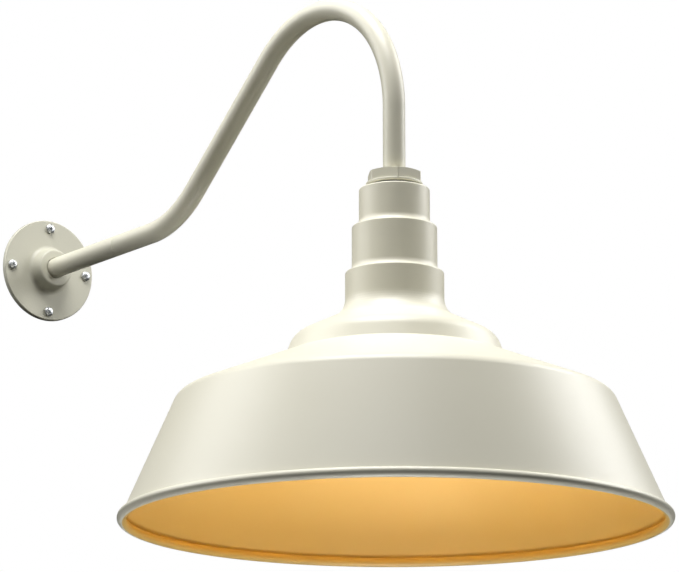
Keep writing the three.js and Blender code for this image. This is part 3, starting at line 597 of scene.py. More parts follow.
# %% Turn the plate and drill it
PLATE_RADIUS = radius_of("wall_plate")
PLATE_BACK, BOSS_FACE = heights_on_wall("wall_plate")
TUBE_RADIUS = (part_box("arm_stub")[1].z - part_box("arm_stub")[0].z) / 2
PLATE_THICKNESS = 4.8 * MM
PLATE_FACE = PLATE_BACK + PLATE_THICKNESS
PLATE_EDGE_ROUND = 1.2 * MM
BOSS_BASE_RADIUS = 21 * MM
BOSS_FACE_RADIUS = 17.8 * MM
BOSS_ROOT_FILLET = 4.5 * MM
BOSS_EDGE_ROUND = 2.2 * MM
RECESS_RADIUS = 33 * MM
RECESS_DEPTH = 2.4 * MM
WIRE_PASSAGE = 7 * MM
TUBE_SLIP = 0.35 * MM
SCREW_CIRCLE = middle_of("mounting_screw_1").z
SCREW_HEAD_RADIUS = radius_of("mounting_screw_1")
SCREW_SHANK_RADIUS = 2.1 * MM
SCREW_GAP = 0.4 * MM
GROUND_HOLE_RADIUS = 2.3 * MM
PEG_FACETS = 40
PLATE_FACETS = 144


def peg(radius, low, high, matrix):
    """A plain round bar to cut a hole with."""
    side = [(0, low), (radius, low), (radius, high), (0, high)]
    return turned("peg", side, None, matrix, facets=PEG_FACETS)


def wall_plate():
    stub_start = heights_on_wall("arm_stub")[0]
    bore = TUBE_RADIUS + TUBE_SLIP
    recess = PLATE_BACK + RECESS_DEPTH
    points = rounded([
        (RECESS_RADIUS, PLATE_BACK, 0.4 * MM),
        (PLATE_RADIUS, PLATE_BACK, 0.4 * MM),
        (PLATE_RADIUS, PLATE_FACE, PLATE_EDGE_ROUND),
        (BOSS_BASE_RADIUS, PLATE_FACE, BOSS_ROOT_FILLET),
        (BOSS_FACE_RADIUS, BOSS_FACE, BOSS_EDGE_ROUND),
        (bore + 0.5 * MM, BOSS_FACE, 0),
        (bore, BOSS_FACE - 0.5 * MM, 0),
        (bore, stub_start - TUBE_SLIP, 0),
        (WIRE_PASSAGE, stub_start - TUBE_SLIP, 0.3 * MM),
        (WIRE_PASSAGE, recess, 0.3 * MM),
        (RECESS_RADIUS - 2 * MM, recess, 1 * MM),
    ])
    plate = turned("wall_plate_casting", points, shaded_powder_on_casting, ON_WALL, facets=PLATE_FACETS)
    tools = []
    for quarter in range(4):
        x = SCREW_CIRCLE * math.cos(math.pi / 2 * quarter)
        z = SCREW_CIRCLE * math.sin(math.pi / 2 * quarter)
        at_hole = Matrix.Translation((x, 0, z)) @ ON_WALL
        tools.append(peg(SCREW_SHANK_RADIUS + SCREW_GAP, -1 * MM, 20 * MM, at_hole))
    upright = Matrix.Translation((0, middle_of("arm_set_screw").y, 0))
    tools.append(peg(radius_of("arm_set_screw") + 0.3 * MM, 5 * MM, 30 * MM, upright))
    ground = Matrix.Translation((middle_of("ground_screw").x, 0, 0)) @ ON_WALL
    tools.append(peg(GROUND_HOLE_RADIUS, 0, recess + 1 * MM, ground))
    return settle(cut_with(plate, tools))


stands_for(wall_plate(), "fixture", "cream_paint", "wall_plate")

# %% [markdown]
# ## Gasket behind the plate
# A ring of sponge rubber keeps rain out of the wall box. Its edges are a little rounded.

# %% Turn the wall gasket
gasket_back, gasket_front = heights_on_wall("wall_gasket")
gasket = flat_ring(
    "wall_gasket_ring", "wall_gasket", gasket_back, gasket_front, RECESS_RADIUS,
    0.4 * MM, 0.5 * MM, sponge_rubber, ON_WALL,
)
stands_for(gasket, "fixture", "gasket_rubber", "wall_gasket")

# %% [markdown]
# ## Screws
# The four screws on the wall plate have a pan head with a cross recess. One function turns the head
# and shank and sinks a tapered cross into the head. All four are this screw, set on a bolt circle,
# and nobody stops the driver at the same angle twice, so a second node tree places them and turns
# each by a random amount from a fixed seed.

# %% A cross-recess pan head
SCREW_FACETS = 40
SCREW_THREAD = 0.35 * MM
SCREW_PITCH = 0.8 * MM


def recess_bar(reach, width, low, high, angle):
    """One tapered bar of the cross, wider at the top than at the bottom."""
    mesh = bpy.data.meshes.new("recess_bar")
    work = bmesh.new()
    for vertex in bmesh.ops.create_cube(work, size=1)["verts"]:
        taper = 1.0 if vertex.co.z > 0 else 0.45
        vertex.co = Vector((
            vertex.co.x * 2 * reach * taper,
            vertex.co.y * width * (0.8 + 0.2 * taper),
            high if vertex.co.z > 0 else low,
        ))
    work.to_mesh(mesh)
    work.free()
    mesh.transform(Matrix.Rotation(angle, 4, "Z"))
    return put_in_scene("recess_bar", mesh)


def pan_head_screw(name, head_radius, head_height, shank_radius, length, finish):
    """A screw standing on z = 0 with its threaded shank below."""
    crown = arc((0, head_height * 0.3), (head_radius, head_height * 0.7), 0, 90)
    tip = 0.6 * shank_radius
    points = [
        (0, -length), (shank_radius - tip * 0.5, -length), (shank_radius, -length + tip * 0.5),
        *[(shank_radius, -length + tip + (length - tip) * i / 24) for i in range(24)],
        (shank_radius, 0), (head_radius - 0.2 * MM, 0), (head_radius, 0.2 * MM), *crown,
    ]
    seed = outline_mesh(name, points)
    screw = made_with(
        LATHE, seed, name, Facets=SCREW_FACETS, Finish=finish,
        Thread_Depth=SCREW_THREAD, Thread_Pitch=SCREW_PITCH,
        Thread_Low=-length, Thread_High=-0.1 * MM,
    )
    settle(screw)
    bars = [
        recess_bar(head_radius * 0.56, head_radius * 0.27, head_height * 0.25, head_height * 1.4, angle)
        for angle in (0, math.pi / 2)
    ]
    return cut_with(screw, bars)


print("pan head screws ready")

# %% Set four screws on the bolt circle
def build_bolt_circle():
    tree, given = shape_tree("bolt circle", [
        ("Count", "NodeSocketInt", 4),
        ("Circle Radius", "NodeSocketFloat", 0.04),
        ("Stand", "NodeSocketFloat", 0.0),
        ("Seed", "NodeSocketInt", 5),
        ("Finish", "NodeSocketMaterial", None),
    ])
    circle = add(tree, "GeometryNodeMeshCircle", {
        "Vertices": given["Count"], "Radius": given["Circle Radius"],
    }).outputs[0]
    lift = add(tree, "ShaderNodeCombineXYZ", {"Z": given["Stand"]}).outputs[0]
    raised = add(tree, "GeometryNodeSetPosition", {"Geometry": circle, "Offset": lift}).outputs[0]
    spin = add(tree, "FunctionNodeRandomValue", {
        "Min": (0, 0, 0), "Max": (0, 0, math.pi / 2), "Seed": given["Seed"],
    }, data_type="FLOAT_VECTOR").outputs[0]
    placed = add(tree, "GeometryNodeInstanceOnPoints", {
        "Points": raised, "Instance": given["Geometry"], "Rotation": spin,
    }).outputs[0]
    return finish_tree(tree, placed, given["Finish"])


BOLT_CIRCLE = build_bolt_circle()
screw_back, screw_front = heights_on_wall("mounting_screw_1")
screw_stand = PLATE_FACE + 0.3 * MM
one_screw = pan_head_screw(
    "one_screw", SCREW_HEAD_RADIUS, screw_front - screw_stand, SCREW_SHANK_RADIUS,
    screw_stand - screw_back, zinc,
)
screws = made_with(
    BOLT_CIRCLE, one_screw.data, "mounting_screws", Count=4, Circle_Radius=SCREW_CIRCLE,
    Stand=screw_stand, Seed=5, Finish=zinc,
)
settle(screws, ON_WALL)
bpy.data.objects.remove(one_screw)
stands_for(
    screws, "fixture", "zinc_steel",
    "mounting_screw_1", "mounting_screw_2", "mounting_screw_3", "mounting_screw_4",
)

# %% [markdown]
# ## Arm
# The arm is steel tube in two lengths: a stub from the wall plate, and the gooseneck that was drawn
# round a former. A curve with a bevel would give a tube without an inside or an end face. Here a
# straight tube is turned first, wall, bore and rounded end faces together, and a second tree
# carries each of its points to the same distance along the arm's middle line. Near a bend the
# rings follow the tangent, as the metal does.

# %% The path and the bending tree
PATH_STEP = 2.5 * MM
STUB_START, SEAM = heights_on_wall("arm_stub")
ARM_START = heights_on_wall("gooseneck_arm")[0]
ARM_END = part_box("gooseneck_arm")[0].z
ARM_STRAIGHT_OUT = 187 * MM
RISE_ANGLE = math.radians(39.25)
RISE_LENGTH = 150 * MM
BEND_RADIUS = 112.5 * MM


def bend(centre, start, end):
    steps = math.ceil(abs(end - start) * BEND_RADIUS / PATH_STEP)
    return [
        (centre[0] + BEND_RADIUS * math.cos(start + (end - start) * i / steps),
         centre[1] + BEND_RADIUS * math.sin(start + (end - start) * i / steps))
        for i in range(steps + 1)
    ]


def arm_line():
    """The middle line of the gooseneck as (out, up) points."""
    rise = bend((ARM_STRAIGHT_OUT, BEND_RADIUS), -math.pi / 2, RISE_ANGLE - math.pi / 2)
    foot = rise[-1]
    along = (math.cos(RISE_ANGLE), math.sin(RISE_ANGLE))
    head = (foot[0] + RISE_LENGTH * along[0], foot[1] + RISE_LENGTH * along[1])
    centre = (head[0] + BEND_RADIUS * along[1], head[1] - BEND_RADIUS * along[0])
    over = bend(centre, RISE_ANGLE + math.pi / 2, 0)
    return [(ARM_START, 0), *rise, *over, (centre[0] + BEND_RADIUS, ARM_END)]


def build_bender():
    tree, given = shape_tree("bend along a path", [
        ("Path", "NodeSocketObject", None),
        ("Finish", "NodeSocketMaterial", None),
    ])
    path = add(tree, "GeometryNodeObjectInfo", {"Object": given["Path"]}).outputs["Geometry"]
    curve = add(tree, "GeometryNodeMeshToCurve", {"Mesh": path}).outputs[0]
    place = add(tree, "GeometryNodeInputPosition").outputs[0]
    part = add(tree, "ShaderNodeSeparateXYZ", {0: place}).outputs
    sample = add(tree, "GeometryNodeSampleCurve", {
        "Curves": curve, "Length": part["Z"],
    }, mode="LENGTH").outputs
    across = add(tree, "ShaderNodeVectorMath", {
        0: sample["Tangent"], 1: sample["Normal"],
    }, operation="CROSS_PRODUCT").outputs[0]
    one = add(tree, "ShaderNodeVectorMath", {0: sample["Normal"], "Scale": part["X"]}, operation="SCALE")
    two = add(tree, "ShaderNodeVectorMath", {0: across, "Scale": part["Y"]}, operation="SCALE")
    side = add(tree, "ShaderNodeVectorMath", {0: one.outputs[0], 1: two.outputs[0]}, operation="ADD")
    total = add(tree, "ShaderNodeVectorMath", {0: sample["Position"], 1: side.outputs[0]}, operation="ADD")
    bent = add(tree, "GeometryNodeSetPosition", {
        "Geometry": given["Geometry"], "Position": total.outputs[0],
    }).outputs[0]
    return finish_tree(tree, bent, given["Finish"])


BENDER = build_bender()


def line_object(name, points):
    mesh = bpy.data.meshes.new(name)
    mesh.from_pydata([tuple(p) for p in points], [(i, i + 1) for i in range(len(points) - 1)], [])
    return put_in_scene(name, mesh)


def tube_outline(radius, bore, length, lip, step):
    """Outer wall, end face, bore and end face; the walls carry a point every step."""
    rings = max(1, round(length / step))
    heights = [lip + (length - 2 * lip) * i / rings for i in range(rings + 1)]
    outer = [(radius, h) for h in heights]
    inner = [(bore, h) for h in reversed(heights)]
    top = [(radius - lip, length), (bore + lip * 0.5, length)]
    bottom = [(bore + lip * 0.5, 0), (radius - lip, 0)]
    quarter = [(radius - lip * 0.3, lip * 0.3)]
    end = [(radius - lip * 0.3, length - lip * 0.3)]
    return [*bottom, *quarter, *outer, *end, *top, *inner]


print("arm path:", len(arm_line()), "points")

# %% Turn and bend the arm
TUBE_WALL = 1.5 * MM
TUBE_BORE = TUBE_RADIUS - TUBE_WALL
TUBE_LIP = 0.45 * MM
TUBE_FACETS = 64
stub_points = tube_outline(TUBE_RADIUS, TUBE_BORE, SEAM - STUB_START, TUBE_LIP, 4 * MM)
stub = turned(
    "arm_stub_tube", stub_points, shaded_powder_on_tube,
    ON_WALL @ Matrix.Translation((0, 0, STUB_START)), facets=TUBE_FACETS, support=False,
)
stands_for(stub, "fixture", "cream_paint", "arm_stub")

middle = [Vector((0, -out, up)) for out, up in arm_line()]
arm_length = sum((b - a).length for a, b in zip(middle, middle[1:]))
path_object = line_object("arm_middle_line", middle)
straight = turned(
    "gooseneck_tube", tube_outline(TUBE_RADIUS, TUBE_BORE, arm_length, TUBE_LIP, PATH_STEP),
    shaded_powder_on_tube, facets=TUBE_FACETS, support=False,
)
arm = made_with(BENDER, straight.data, "gooseneck_tube_bent", Path=path_object, Finish=shaded_powder_on_tube)
bpy.data.objects.remove(straight)
bpy.data.objects.remove(path_object)
settle(arm)
stands_for(arm, "fixture", "cream_paint", "gooseneck_arm")
print(f"tube in the gooseneck: {arm_length / MM:.0f} mm")

# %% [markdown]
# ## Hub nut
# The nut that clamps the shade is a six-sided casting on a round flange. A lathe can't make flats,
# so a six-sided bar with softened corners is cut by the turned envelope: where its top bevel
# crosses the flats, it leaves the curved chamfer that every nut has.

# %% Cut the nut from a six-sided bar
def hex_bar(name, flats, low, high, softening, finish):
    """A six-sided bar with rounded corners and flats at the front and back."""
    corner = flats / math.sqrt(3)
    sixths = [math.radians(60 * i) for i in range(6)]
    corners = [Vector((corner * math.cos(a), corner * math.sin(a))) for a in sixths]
    rim = []
    for i in range(6):
        rim += fillet(corners[i - 1], corners[i], corners[(i + 1) % 6], softening)
    mesh = bpy.data.meshes.new(name)
    work = bmesh.new()
    bottom = [work.verts.new((x, y, low)) for x, y in rim]
    top = [work.verts.new((x, y, high)) for x, y in rim]
    work.faces.new(list(reversed(bottom)))
    work.faces.new(top)
    for i in range(len(rim)):
        j = (i + 1) % len(rim)
        work.faces.new((bottom[i], bottom[j], top[j], top[i]))
    work.to_mesh(mesh)
    work.free()
    mesh.materials.append(finish)
    return put_in_scene(name, mesh)


NUT_LOW, NUT_HIGH = heights_on_lamp("hub_nut")
NUT_FLATS = 42 * MM
NUT_FLANGE_RADIUS = 24 * MM
NUT_FLANGE_THICKNESS = 2.7 * MM
NUT_FLANGE_TOP = NUT_LOW + NUT_FLANGE_THICKNESS
NUT_FACETS = 120
NUT_CHAMFER = 1.3 * MM
NUT_CORNER_ROUND = 1.5 * MM
NUT_CORNER = NUT_FLATS / math.sqrt(3)


def hub_nut():
    nut = hex_bar(
        "hub_nut_casting", NUT_FLATS, NUT_FLANGE_TOP - 1 * MM, NUT_HIGH + 1 * MM,
        NUT_CORNER_ROUND, shaded_powder_on_tube,
    )
    envelope = turned("envelope", rounded([
        (0, NUT_LOW, 0),
        (NUT_CORNER + 1 * MM, NUT_LOW, 0),
        (NUT_CORNER + 1 * MM, NUT_HIGH - NUT_CHAMFER * 1.2, 0),
        (NUT_FLATS / 2 - 0.4 * MM, NUT_HIGH, 0.5 * MM),
        (0, NUT_HIGH, 0),
    ]), None, facets=NUT_FACETS)
    nut = cut_with(nut, [envelope], "INTERSECT")
    flange = turned("flange", rounded([
        (0, NUT_LOW, 0),
        (NUT_FLANGE_RADIUS, NUT_LOW, 0.7 * MM),
        (NUT_FLANGE_RADIUS, NUT_FLANGE_TOP, 0.9 * MM),
        (0, NUT_FLANGE_TOP, 0),
    ]), shaded_powder_on_tube, facets=NUT_FACETS)
    nut = cut_with(nut, [flange], "UNION")
    bore = TUBE_RADIUS + TUBE_SLIP
    drill = turned("drill", [
        (0, NUT_LOW - 1 * MM), (bore, NUT_LOW - 1 * MM), (bore, NUT_HIGH - 0.8 * MM),
        (bore + 1.6 * MM, NUT_HIGH + 0.8 * MM), (0, NUT_HIGH + 0.8 * MM),
    ], None, facets=72)
    nut = cut_with(nut, [drill])
    return settle(nut, ON_LAMP)


stands_for(hub_nut(), "fixture", "cream_paint", "hub_nut")

gasket_low, gasket_high = heights_on_lamp("hub_gasket")
hub_gasket = flat_ring(
    "hub_gasket_ring", "hub_gasket", gasket_low, gasket_high, TUBE_RADIUS + TUBE_SLIP,
    0.3 * MM, 0.8 * MM, sponge_rubber, ON_LAMP,
)
stands_for(hub_gasket, "fixture", "gasket_rubber", "hub_gasket")

# %% [markdown]
# ## Shade
# The shade is one sheet of steel spun over a form: a neck in three steps, a bell, a shallow
# shoulder and a steep skirt, with the edge rolled outwards into a bead that stiffens it. Its outer
# face is the outline that matters, and everything else is an offset from it. It is made as two
# closed shells that meet in the middle of the sheet, the cream outside and the gold inside,
# so each can be given its own finish. On the bead the cream ends just past the lowest point.

# %% The outer face, from the neck to the skirt
SHEET = 1.2 * MM
COAT_LINE = 0.8 * MM
TIER_RADII = [29.8 * MM, 35.8 * MM, 41.4 * MM]
TIER_TOPS = [0, -32.6 * MM, -72.2 * MM]
TIER_EDGE_ROUND = 1.5 * MM
TIER_FILLET_HEIGHT = 6 * MM
NECK_FOOT = (TIER_RADII[-1], -106.9 * MM)
BELL = (84.9 * MM, -127.7 * MM)
COLLAR = (91.5 * MM, -144.4 * MM)
SHOULDER = (181.4 * MM, -180.2 * MM)
NECK_FILLET = 19.8 * MM
BELL_FILLET = 17.7 * MM
COLLAR_FILLET = 1.6 * MM
SHOULDER_FILLET = 12.2 * MM
BEAD_RADIUS = 4.1 * MM
RIM_CENTRE = ((shade_high.y - shade_low.y) / 2 - BEAD_RADIUS, shade_low.z - NECK_TOP + BEAD_RADIUS)
SKIRT_END = (RIM_CENTRE[0] + 0.9 * MM, RIM_CENTRE[1])


def outer_face():
    """From the hole in the top of the neck to the end of the skirt, in the middle of the bead."""
    face = [(TUBE_RADIUS + TUBE_SLIP, 0)]
    for i, (radius, top) in enumerate(zip(TIER_RADII, TIER_TOPS)):
        if i:
            inner = TIER_RADII[i - 1]
            width = radius - inner - TIER_EDGE_ROUND
            face += arc((inner + width, top + TIER_FILLET_HEIGHT), (width, TIER_FILLET_HEIGHT), 180, 270)
        face += arc((radius - TIER_EDGE_ROUND, top - TIER_EDGE_ROUND), (TIER_EDGE_ROUND,) * 2, 90, 0)
    above = (TIER_RADII[-1], TIER_TOPS[-1])
    face += fillet(above, NECK_FOOT, BELL, NECK_FILLET)
    face += fillet(NECK_FOOT, BELL, COLLAR, BELL_FILLET)
    face += fillet(BELL, COLLAR, SHOULDER, COLLAR_FILLET)
    face += fillet(COLLAR, SHOULDER, SKIRT_END, SHOULDER_FILLET)
    return face + [SKIRT_END]


def meets_bead(face, radius):
    """The face cut where its last stretch enters a circle about the middle of the bead."""
    start, end = Vector(face[-2]), Vector(face[-1])
    centre = Vector(RIM_CENTRE)
    along = (end - start).normalized()
    to_centre = centre - start
    reach = to_centre.dot(along)
    away = (to_centre - along * reach).length
    point = start + along * (reach - math.sqrt(radius ** 2 - away ** 2))
    angle = math.degrees(math.atan2(point.y - centre.y, point.x - centre.x))
    return face[:-1] + [tuple(point)], angle


face = outer_face()
outside, outside_angle = meets_bead(face, BEAD_RADIUS)
inside, inside_angle = meets_bead(offset(face, SHEET), BEAD_RADIUS)
print(f"outline of the shade: {len(face)} points")
print(f"the bead runs from {outside_angle:.0f} to {inside_angle:.0f} degrees")

# %% Spin the two shells
SHADE_FACETS = 216
COAT = 0.3 * MM
COAT_GAP = 0.02 * MM
BEAD_BOTTOM = -95

skin_back = offset(face, COAT_LINE)
skin_back, skin_angle = meets_bead(skin_back, BEAD_RADIUS - COAT)
skin_points = [
    *outside,
    *arc(RIM_CENTRE, (BEAD_RADIUS,) * 2, outside_angle, BEAD_BOTTOM),
    *arc(RIM_CENTRE, (BEAD_RADIUS - COAT,) * 2, BEAD_BOTTOM, skin_angle - 360),
    *reversed(skin_back),
]
skin = turned("shade_skin", skin_points, powder_on_sheet, ON_LAMP, facets=SHADE_FACETS)
stands_for(skin, "fixture", "cream_paint", "shade")

lining_back, lining_angle = meets_bead(offset(face, COAT_LINE + COAT_GAP), BEAD_RADIUS - COAT + COAT_GAP)
lining_points = [
    *inside,
    *arc(RIM_CENTRE, (BEAD_RADIUS,) * 2, inside_angle - 360, BEAD_BOTTOM),
    *arc(RIM_CENTRE, (BEAD_RADIUS - COAT + COAT_GAP,) * 2, BEAD_BOTTOM, lining_angle - 360),
    *reversed(lining_back),
]
lining = turned("shade_lining", lining_points, gold_inside, ON_LAMP, facets=SHADE_FACETS)
stands_for(lining, "fixture", "gold_paint")

# %% [markdown]
# ## Inside the neck
# A washer, a stirrup and a locknut clamp the shade to the tube, and the stirrup carries the
# porcelain lampholder. They sit in the dark, so the stirrup, the locknut and the leads keep the
# frame's own meshes with a proper finish. The washer, the lampholder and its screw shell are turned
# again, the first two with rounded edges.

# %% Lampholder and its contacts
HOLDER_LOW, HOLDER_HIGH = heights_on_lamp("lampholder")
HOLDER_RADIUS = radius_of("lampholder")
SHELL_LOW, SHELL_HIGH = heights_on_lamp("screw_shell")
SHELL_RADIUS = radius_of("screw_shell")
CAP_RADIUS = radius_of("bulb_cap")
CAP_PITCH = 3.629 * MM
CAP_THREAD = 0.9 * MM
SHELL_WALL = 0.5 * MM


def lampholder():
    bore = SHELL_RADIUS + 0.3 * MM
    crown = 17 * MM
    crown_foot = HOLDER_HIGH - 9 * MM
    ceiling = HOLDER_HIGH - 14 * MM
    return turned("lampholder_porcelain", rounded([
        (0, HOLDER_HIGH, 0),
        (crown, HOLDER_HIGH, 1.2 * MM),
        (crown, crown_foot, 0.8 * MM),
        (HOLDER_RADIUS, crown_foot - 2 * MM, 1 * MM),
        (HOLDER_RADIUS, HOLDER_LOW, 1.6 * MM),
        (bore, HOLDER_LOW, 0.6 * MM),
        (bore, ceiling, 1 * MM),
        (0, ceiling, 0),
    ]), glazed, ON_LAMP)


stands_for(lampholder(), "fixture", "porcelain", "lampholder")


def threaded_shell(name, radius, wall, low, high, lip, finish):
    """A thin tube with a rolled thread; lip is a plain stretch at the lower end."""
    rings = round((high - low) / (CAP_PITCH / 12))
    heights = [low + (high - low) * i / rings for i in range(rings + 1)]
    points = [(radius, h) for h in heights] + [(radius - wall, h) for h in reversed(heights)]
    seed = outline_mesh(name, points)
    return made_with(
        LATHE, seed, name, Facets=FACETS, Finish=finish, Thread_Depth=CAP_THREAD,
        Thread_Pitch=CAP_PITCH, Thread_Low=low + lip, Thread_High=high,
    )


shell = threaded_shell(
    "screw_shell_brass", SHELL_RADIUS, SHELL_WALL, SHELL_LOW, SHELL_HIGH, 1 * MM, brass_plain)
stands_for(settle(shell, ON_LAMP), "fixture", "brass", "screw_shell")

washer_low, washer_high = heights_on_lamp("neck_washer")
washer = flat_ring(
    "neck_washer_disc", "neck_washer", washer_low, washer_high, TUBE_RADIUS + TUBE_SLIP,
    0.2 * MM, 0.4 * MM, zinc, ON_LAMP,
)
stands_for(washer, "fixture", "zinc_steel", "neck_washer")

# %% [markdown]
# ## Bulb
# A screw-in LED bulb: a brass cap with a rolled thread, a black glass insulator and a centre
# contact at its tip, a white housing that sheds the heat, and an opal dome. The thread in the
# cap and the one in the lampholder have the same pitch and the same start, so they stay in mesh
# while the bulb turns and drops.

# %% Cap, insulator and tip
tip_low, tip_high = heights_on_lamp("bulb_tip")
tip_radius = radius_of("bulb_tip")
tip = turned("bulb_tip_solder", [
    (0, tip_low), *arc((tip_radius - 0.4 * MM, tip_low + 0.4 * MM), (0.4 * MM,) * 2, -90, 0),
    *arc((0, tip_low + 0.5 * MM), (tip_radius, tip_high - tip_low - 0.5 * MM), 5, 90),
], nickel, ON_LAMP, facets=48)
stands_for(tip, "bulb_contact", "nickel_brass", "bulb_tip")

glass_low, glass_high = heights_on_lamp("bulb_insulator")
glass_radius = radius_of("bulb_insulator")
insulator = turned("bulb_insulator_glass", rounded([
    (0, glass_high, 0),
    (tip_radius + 1 * MM, glass_high, 0.6 * MM),
    (glass_radius, glass_low + 0.8 * MM, 0.4 * MM),
    (glass_radius, glass_low, 0.2 * MM),
    (0, glass_low, 0),
]), black_glass, ON_LAMP, facets=64)
stands_for(insulator, "bulb", "black_glass", "bulb_insulator")

CAP_LOW, CAP_HIGH = heights_on_lamp("bulb_cap")
cap = threaded_shell(
    "bulb_cap_threaded", CAP_RADIUS, 0.5 * MM, CAP_LOW, CAP_HIGH, 2 * MM, nickel)
stands_for(settle(cap, ON_LAMP), "bulb", "nickel_brass", "bulb_cap")

# %% Housing and dome
house_low, house_high = heights_on_lamp("bulb_housing")
house_radius = radius_of("bulb_housing")
globe_low, globe_high = heights_on_lamp("bulb_globe")
globe_radius = radius_of("bulb_globe")
GLOBE_WALL = 1.5 * MM
plug = CAP_RADIUS - CAP_THREAD - 1 * MM


def bulb_housing():
    flare = []
    steps = 14
    collar = CAP_RADIUS + 2 * MM
    start, end = CAP_LOW - 2 * MM, house_low
    for i in range(steps + 1):
        t = i / steps
        swell = t * t * (3 - 2 * t)
        flare.append((collar + (house_radius - collar) * swell, start + (end - start) * t))
    return turned("bulb_housing_shell", [
        (0, house_high), (plug - 0.5 * MM, house_high), (plug, house_high - 0.5 * MM),
        (plug, CAP_LOW - 0.3 * MM), (CAP_RADIUS + 1.2 * MM, CAP_LOW - 0.3 * MM),
        (collar, CAP_LOW - 1.1 * MM), *flare, (0, house_low),
    ], white_plastic, ON_LAMP)


stands_for(bulb_housing(), "bulb", "white_plastic", "bulb_housing")


def bulb_globe():
    """Tangent sides from the housing's rim to the round end of the bulb."""
    middle = globe_low + globe_radius
    rim = house_radius
    steps = 4
    outer = [(rim, globe_high)]
    for i in range(1, steps):
        t = i / steps
        swell = math.sin(t * math.pi / 2)
        outer.append((rim + (globe_radius - rim) * swell, globe_high + (middle - globe_high) * t))
    outer += arc((0, middle), (globe_radius,) * 2, 0, -90)
    inner = offset(outer, -GLOBE_WALL)
    inner[-1] = (0, globe_low + GLOBE_WALL)
    inner[0] = (rim - GLOBE_WALL, globe_high)
    return turned("bulb_globe_opal", outer + list(reversed(inner)), diffuser, ON_LAMP)


stands_for(bulb_globe(), "bulb", "opal_plastic", "bulb_globe")

# %% [markdown]
# ## Pieces that keep the frame's mesh
# Small pieces that stay out of sight keep their shape from the frame. They still wear what they are
# made of, because the part can also be looked at taken apart.

# %% Finishes for the frame's own meshes
KEPT = {
    "joint_sleeve": zinc, "arm_set_screw": zinc, "ground_screw": green_zinc,
    "holder_strap": zinc, "neck_locknut": zinc,
    "strap_screw_live_side": zinc, "strap_screw_neutral_side": zinc,
    "terminal_screw_live": brass_plain, "terminal_screw_neutral": brass_plain,
    "centre_contact": brass_plain, "led_board": board_metal,
    "lead_live": black_wire, "lead_neutral": white_wire,
}
for name, finish in KEPT.items():
    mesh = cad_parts[name].data
    mesh.materials.clear()
    mesh.materials.append(finish)
print(len(KEPT), "pieces keep the frame's mesh")

# %% [markdown]
# ## Stage
# The lantern hangs in a studio with a pale floor far below it. Floor and backdrop are bright to
# the camera only. The floor gives the lantern no light and the backdrop very little, so it is the
# softboxes that shape it: satin paint looks flat without dark surroundings beside the lights.

# %% Floor and backdrop
FLOOR_DROP = 5.0
FLOOR_HALF = 14.0
FLOOR_GLOW = 0.8
floor_mesh = bpy.data.meshes.new("studio_floor")
corners = [(x * FLOOR_HALF, y * FLOOR_HALF, 0) for x, y in ((-1, -1), (1, -1), (1, 1), (-1, 1))]
floor_mesh.from_pydata(corners, [], [(0, 1, 2, 3)])
floor_mesh.transform(Matrix.Translation((0, 0, -FLOOR_DROP)))
floor = put_in_scene("studio_floor", floor_mesh)
pale, pale_tree, pale_shader, pale_where = new_finish("pale studio floor")
paper = two_tone(
    pale_tree, pale_shader, pale_where, scale=2.0, detail=2.0, light="#F4F3F0", dark="#EFEEEA",
)
connect(pale_tree, paper, pale_shader.inputs["Emission Color"])
pale_shader.inputs["Emission Strength"].default_value = FLOOR_GLOW
pale_shader.inputs["Roughness"].default_value = 0.9
floor_mesh.materials.append(pale)
floor.visible_diffuse = False
floor.visible_glossy = False
floor.visible_transmission = False

AMBIENT = 0.03
world = bpy.data.worlds.new("white studio")
bpy.context.scene.world = world
world.use_nodes = True
world.node_tree.nodes.clear()
eye = add(world.node_tree, "ShaderNodeLightPath").outputs["Is Camera Ray"]
dim = add(world.node_tree, "ShaderNodeBackground", {"Color": (1, 1, 1, 1), "Strength": AMBIENT})
white = add(world.node_tree, "ShaderNodeBackground", {"Color": (1, 1, 1, 1), "Strength": 1.0})
mixed = add(world.node_tree, "ShaderNodeMixShader", {0: eye, 1: dim.outputs[0], 2: white.outputs[0]})
add(world.node_tree, "ShaderNodeOutputWorld", {"Surface": mixed.outputs[0]})
bpy.context.scene.view_settings.view_transform = "Standard"
print("floor", FLOOR_DROP, "m below the arm")

# %% [markdown]
# ## Camera
# The camera stands at a set bearing and distance, below the lantern and to the left of someone who
# faces the wall. It aims a little right of the middle of the frame's box and a little below it.

# %% The camera
VIEW_AZIMUTH = -36.5
VIEW_ELEVATION = -13.5
VIEW_DISTANCE = 2.93
AIM_RIGHT = 52 * MM
AIM_DOWN = 5.5 * MM
VIEW_LENS = 177.5


def bearing(right, up):
    """A direction from the lantern: degrees to the right of the camera, and above the horizon."""
    azimuth = math.radians(VIEW_AZIMUTH + right)
    flat = math.cos(math.radians(up))
    return Vector((math.sin(azimuth) * flat, -math.cos(azimuth) * flat, math.sin(math.radians(up))))


towards_camera = bearing(0, VIEW_ELEVATION)
sideways = Vector((0, 0, 1)).cross(towards_camera).normalized()
upwards = towards_camera.cross(sideways)
box_middle = (Vector(CAD_BOUNDS[0]) + Vector(CAD_BOUNDS[1])) / 2
aim = box_middle + sideways * AIM_RIGHT - upwards * AIM_DOWN
camera_data = bpy.data.cameras.new("studio camera")
camera_data.sensor_width = 36
camera_data.lens = VIEW_LENS
camera_data.clip_start = 0.05
camera_data.clip_end = 50
camera = put_in_scene("studio camera", camera_data)
camera.location = aim + towards_camera * VIEW_DISTANCE
camera.rotation_euler = (-towards_camera).to_track_quat("-Z", "Y").to_euler()
bpy.context.scene.camera = camera
print("camera at", [round(v, 3) for v in camera.location])

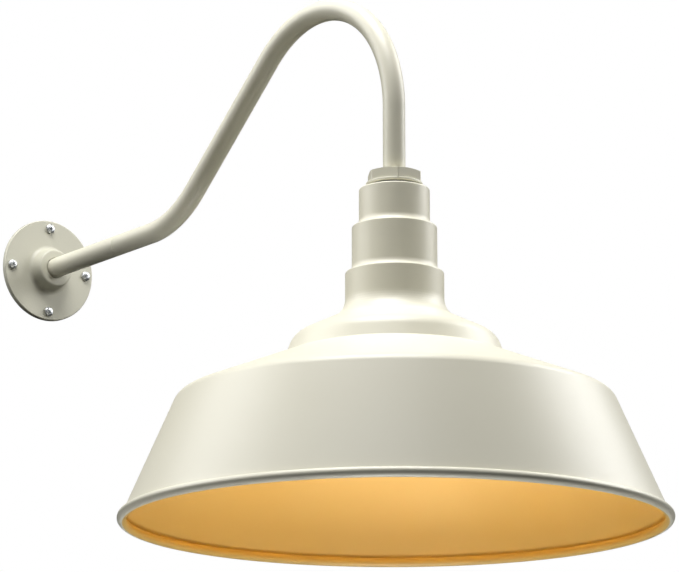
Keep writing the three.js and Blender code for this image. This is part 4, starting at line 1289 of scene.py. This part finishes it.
# %% [markdown]
# ## Softboxes
# Two banks stand at the lantern's sides, a third of the way up the sky, so that every round form is
# bright at both edges and falls darker in the middle. The strongest bank is overhead. It lights the
# ledges, the shoulder and the sloping skirt, and leaves the upright neck darker. A weak fill near
# the camera and another from below keep the front and the undersides readable. Each has its share of
# one power. A panel under the shade, with a narrow beam, looks up at the gold, and a
# small one inside the mouth lifts its depth.

# %% The softboxes
LANTERN_MIDDLE = Vector((0, LAMP_AXIS_Y * 0.6, NECK_TOP - 0.1))
BANK_DISTANCE = 1.6
BANK_POWER = 12.0
BANKS = [
    # name, degrees to the right of the camera, degrees up, size in metres, share of the power
    ("left", 272, 36, 1.2, 1.5),
    ("right", 102, 32, 1.0, 1.7),
    ("overhead", -10, 74, 1.0, 2.9),
    ("front fill", 20, 10, 1.2, 0.03),
    ("low fill", 0, -30, 1.0, 0.09),
]
GOLD_PANEL_DROP = 0.6
GOLD_PANEL_SIZE = 0.3
GOLD_PANEL_POWER = 0.78
GOLD_PANEL_BEAM = 45
CORE_PANEL_RISE = 24 * MM
CORE_PANEL_SIZE = 0.26
CORE_PANEL_POWER = 0.2


def softbox(name, place, target, size, power, beam=180):
    light = bpy.data.lights.new(name + " softbox", "AREA")
    light.shape = "SQUARE"
    light.size = size
    light.energy = power
    light.spread = math.radians(beam)
    box = put_in_scene(light.name, light)
    box.location = place
    box.rotation_euler = (target - place).to_track_quat("-Z", "Y").to_euler()
    box.visible_camera = False


for name, right, up, size, share in BANKS:
    place = LANTERN_MIDDLE + bearing(right, up) * BANK_DISTANCE
    softbox(name, place, LANTERN_MIDDLE, size, BANK_POWER * share)
mouth = Vector((0, LAMP_AXIS_Y, shade_low.z))
under = mouth - Vector((0, 0, GOLD_PANEL_DROP))
softbox("gold", under, mouth, GOLD_PANEL_SIZE, GOLD_PANEL_POWER, GOLD_PANEL_BEAM)
inside = mouth + Vector((0, 0, CORE_PANEL_RISE))
softbox("core", inside, inside + Vector((0, 0, 1)), CORE_PANEL_SIZE, CORE_PANEL_POWER)
print(len(BANKS) + 2, "softboxes")
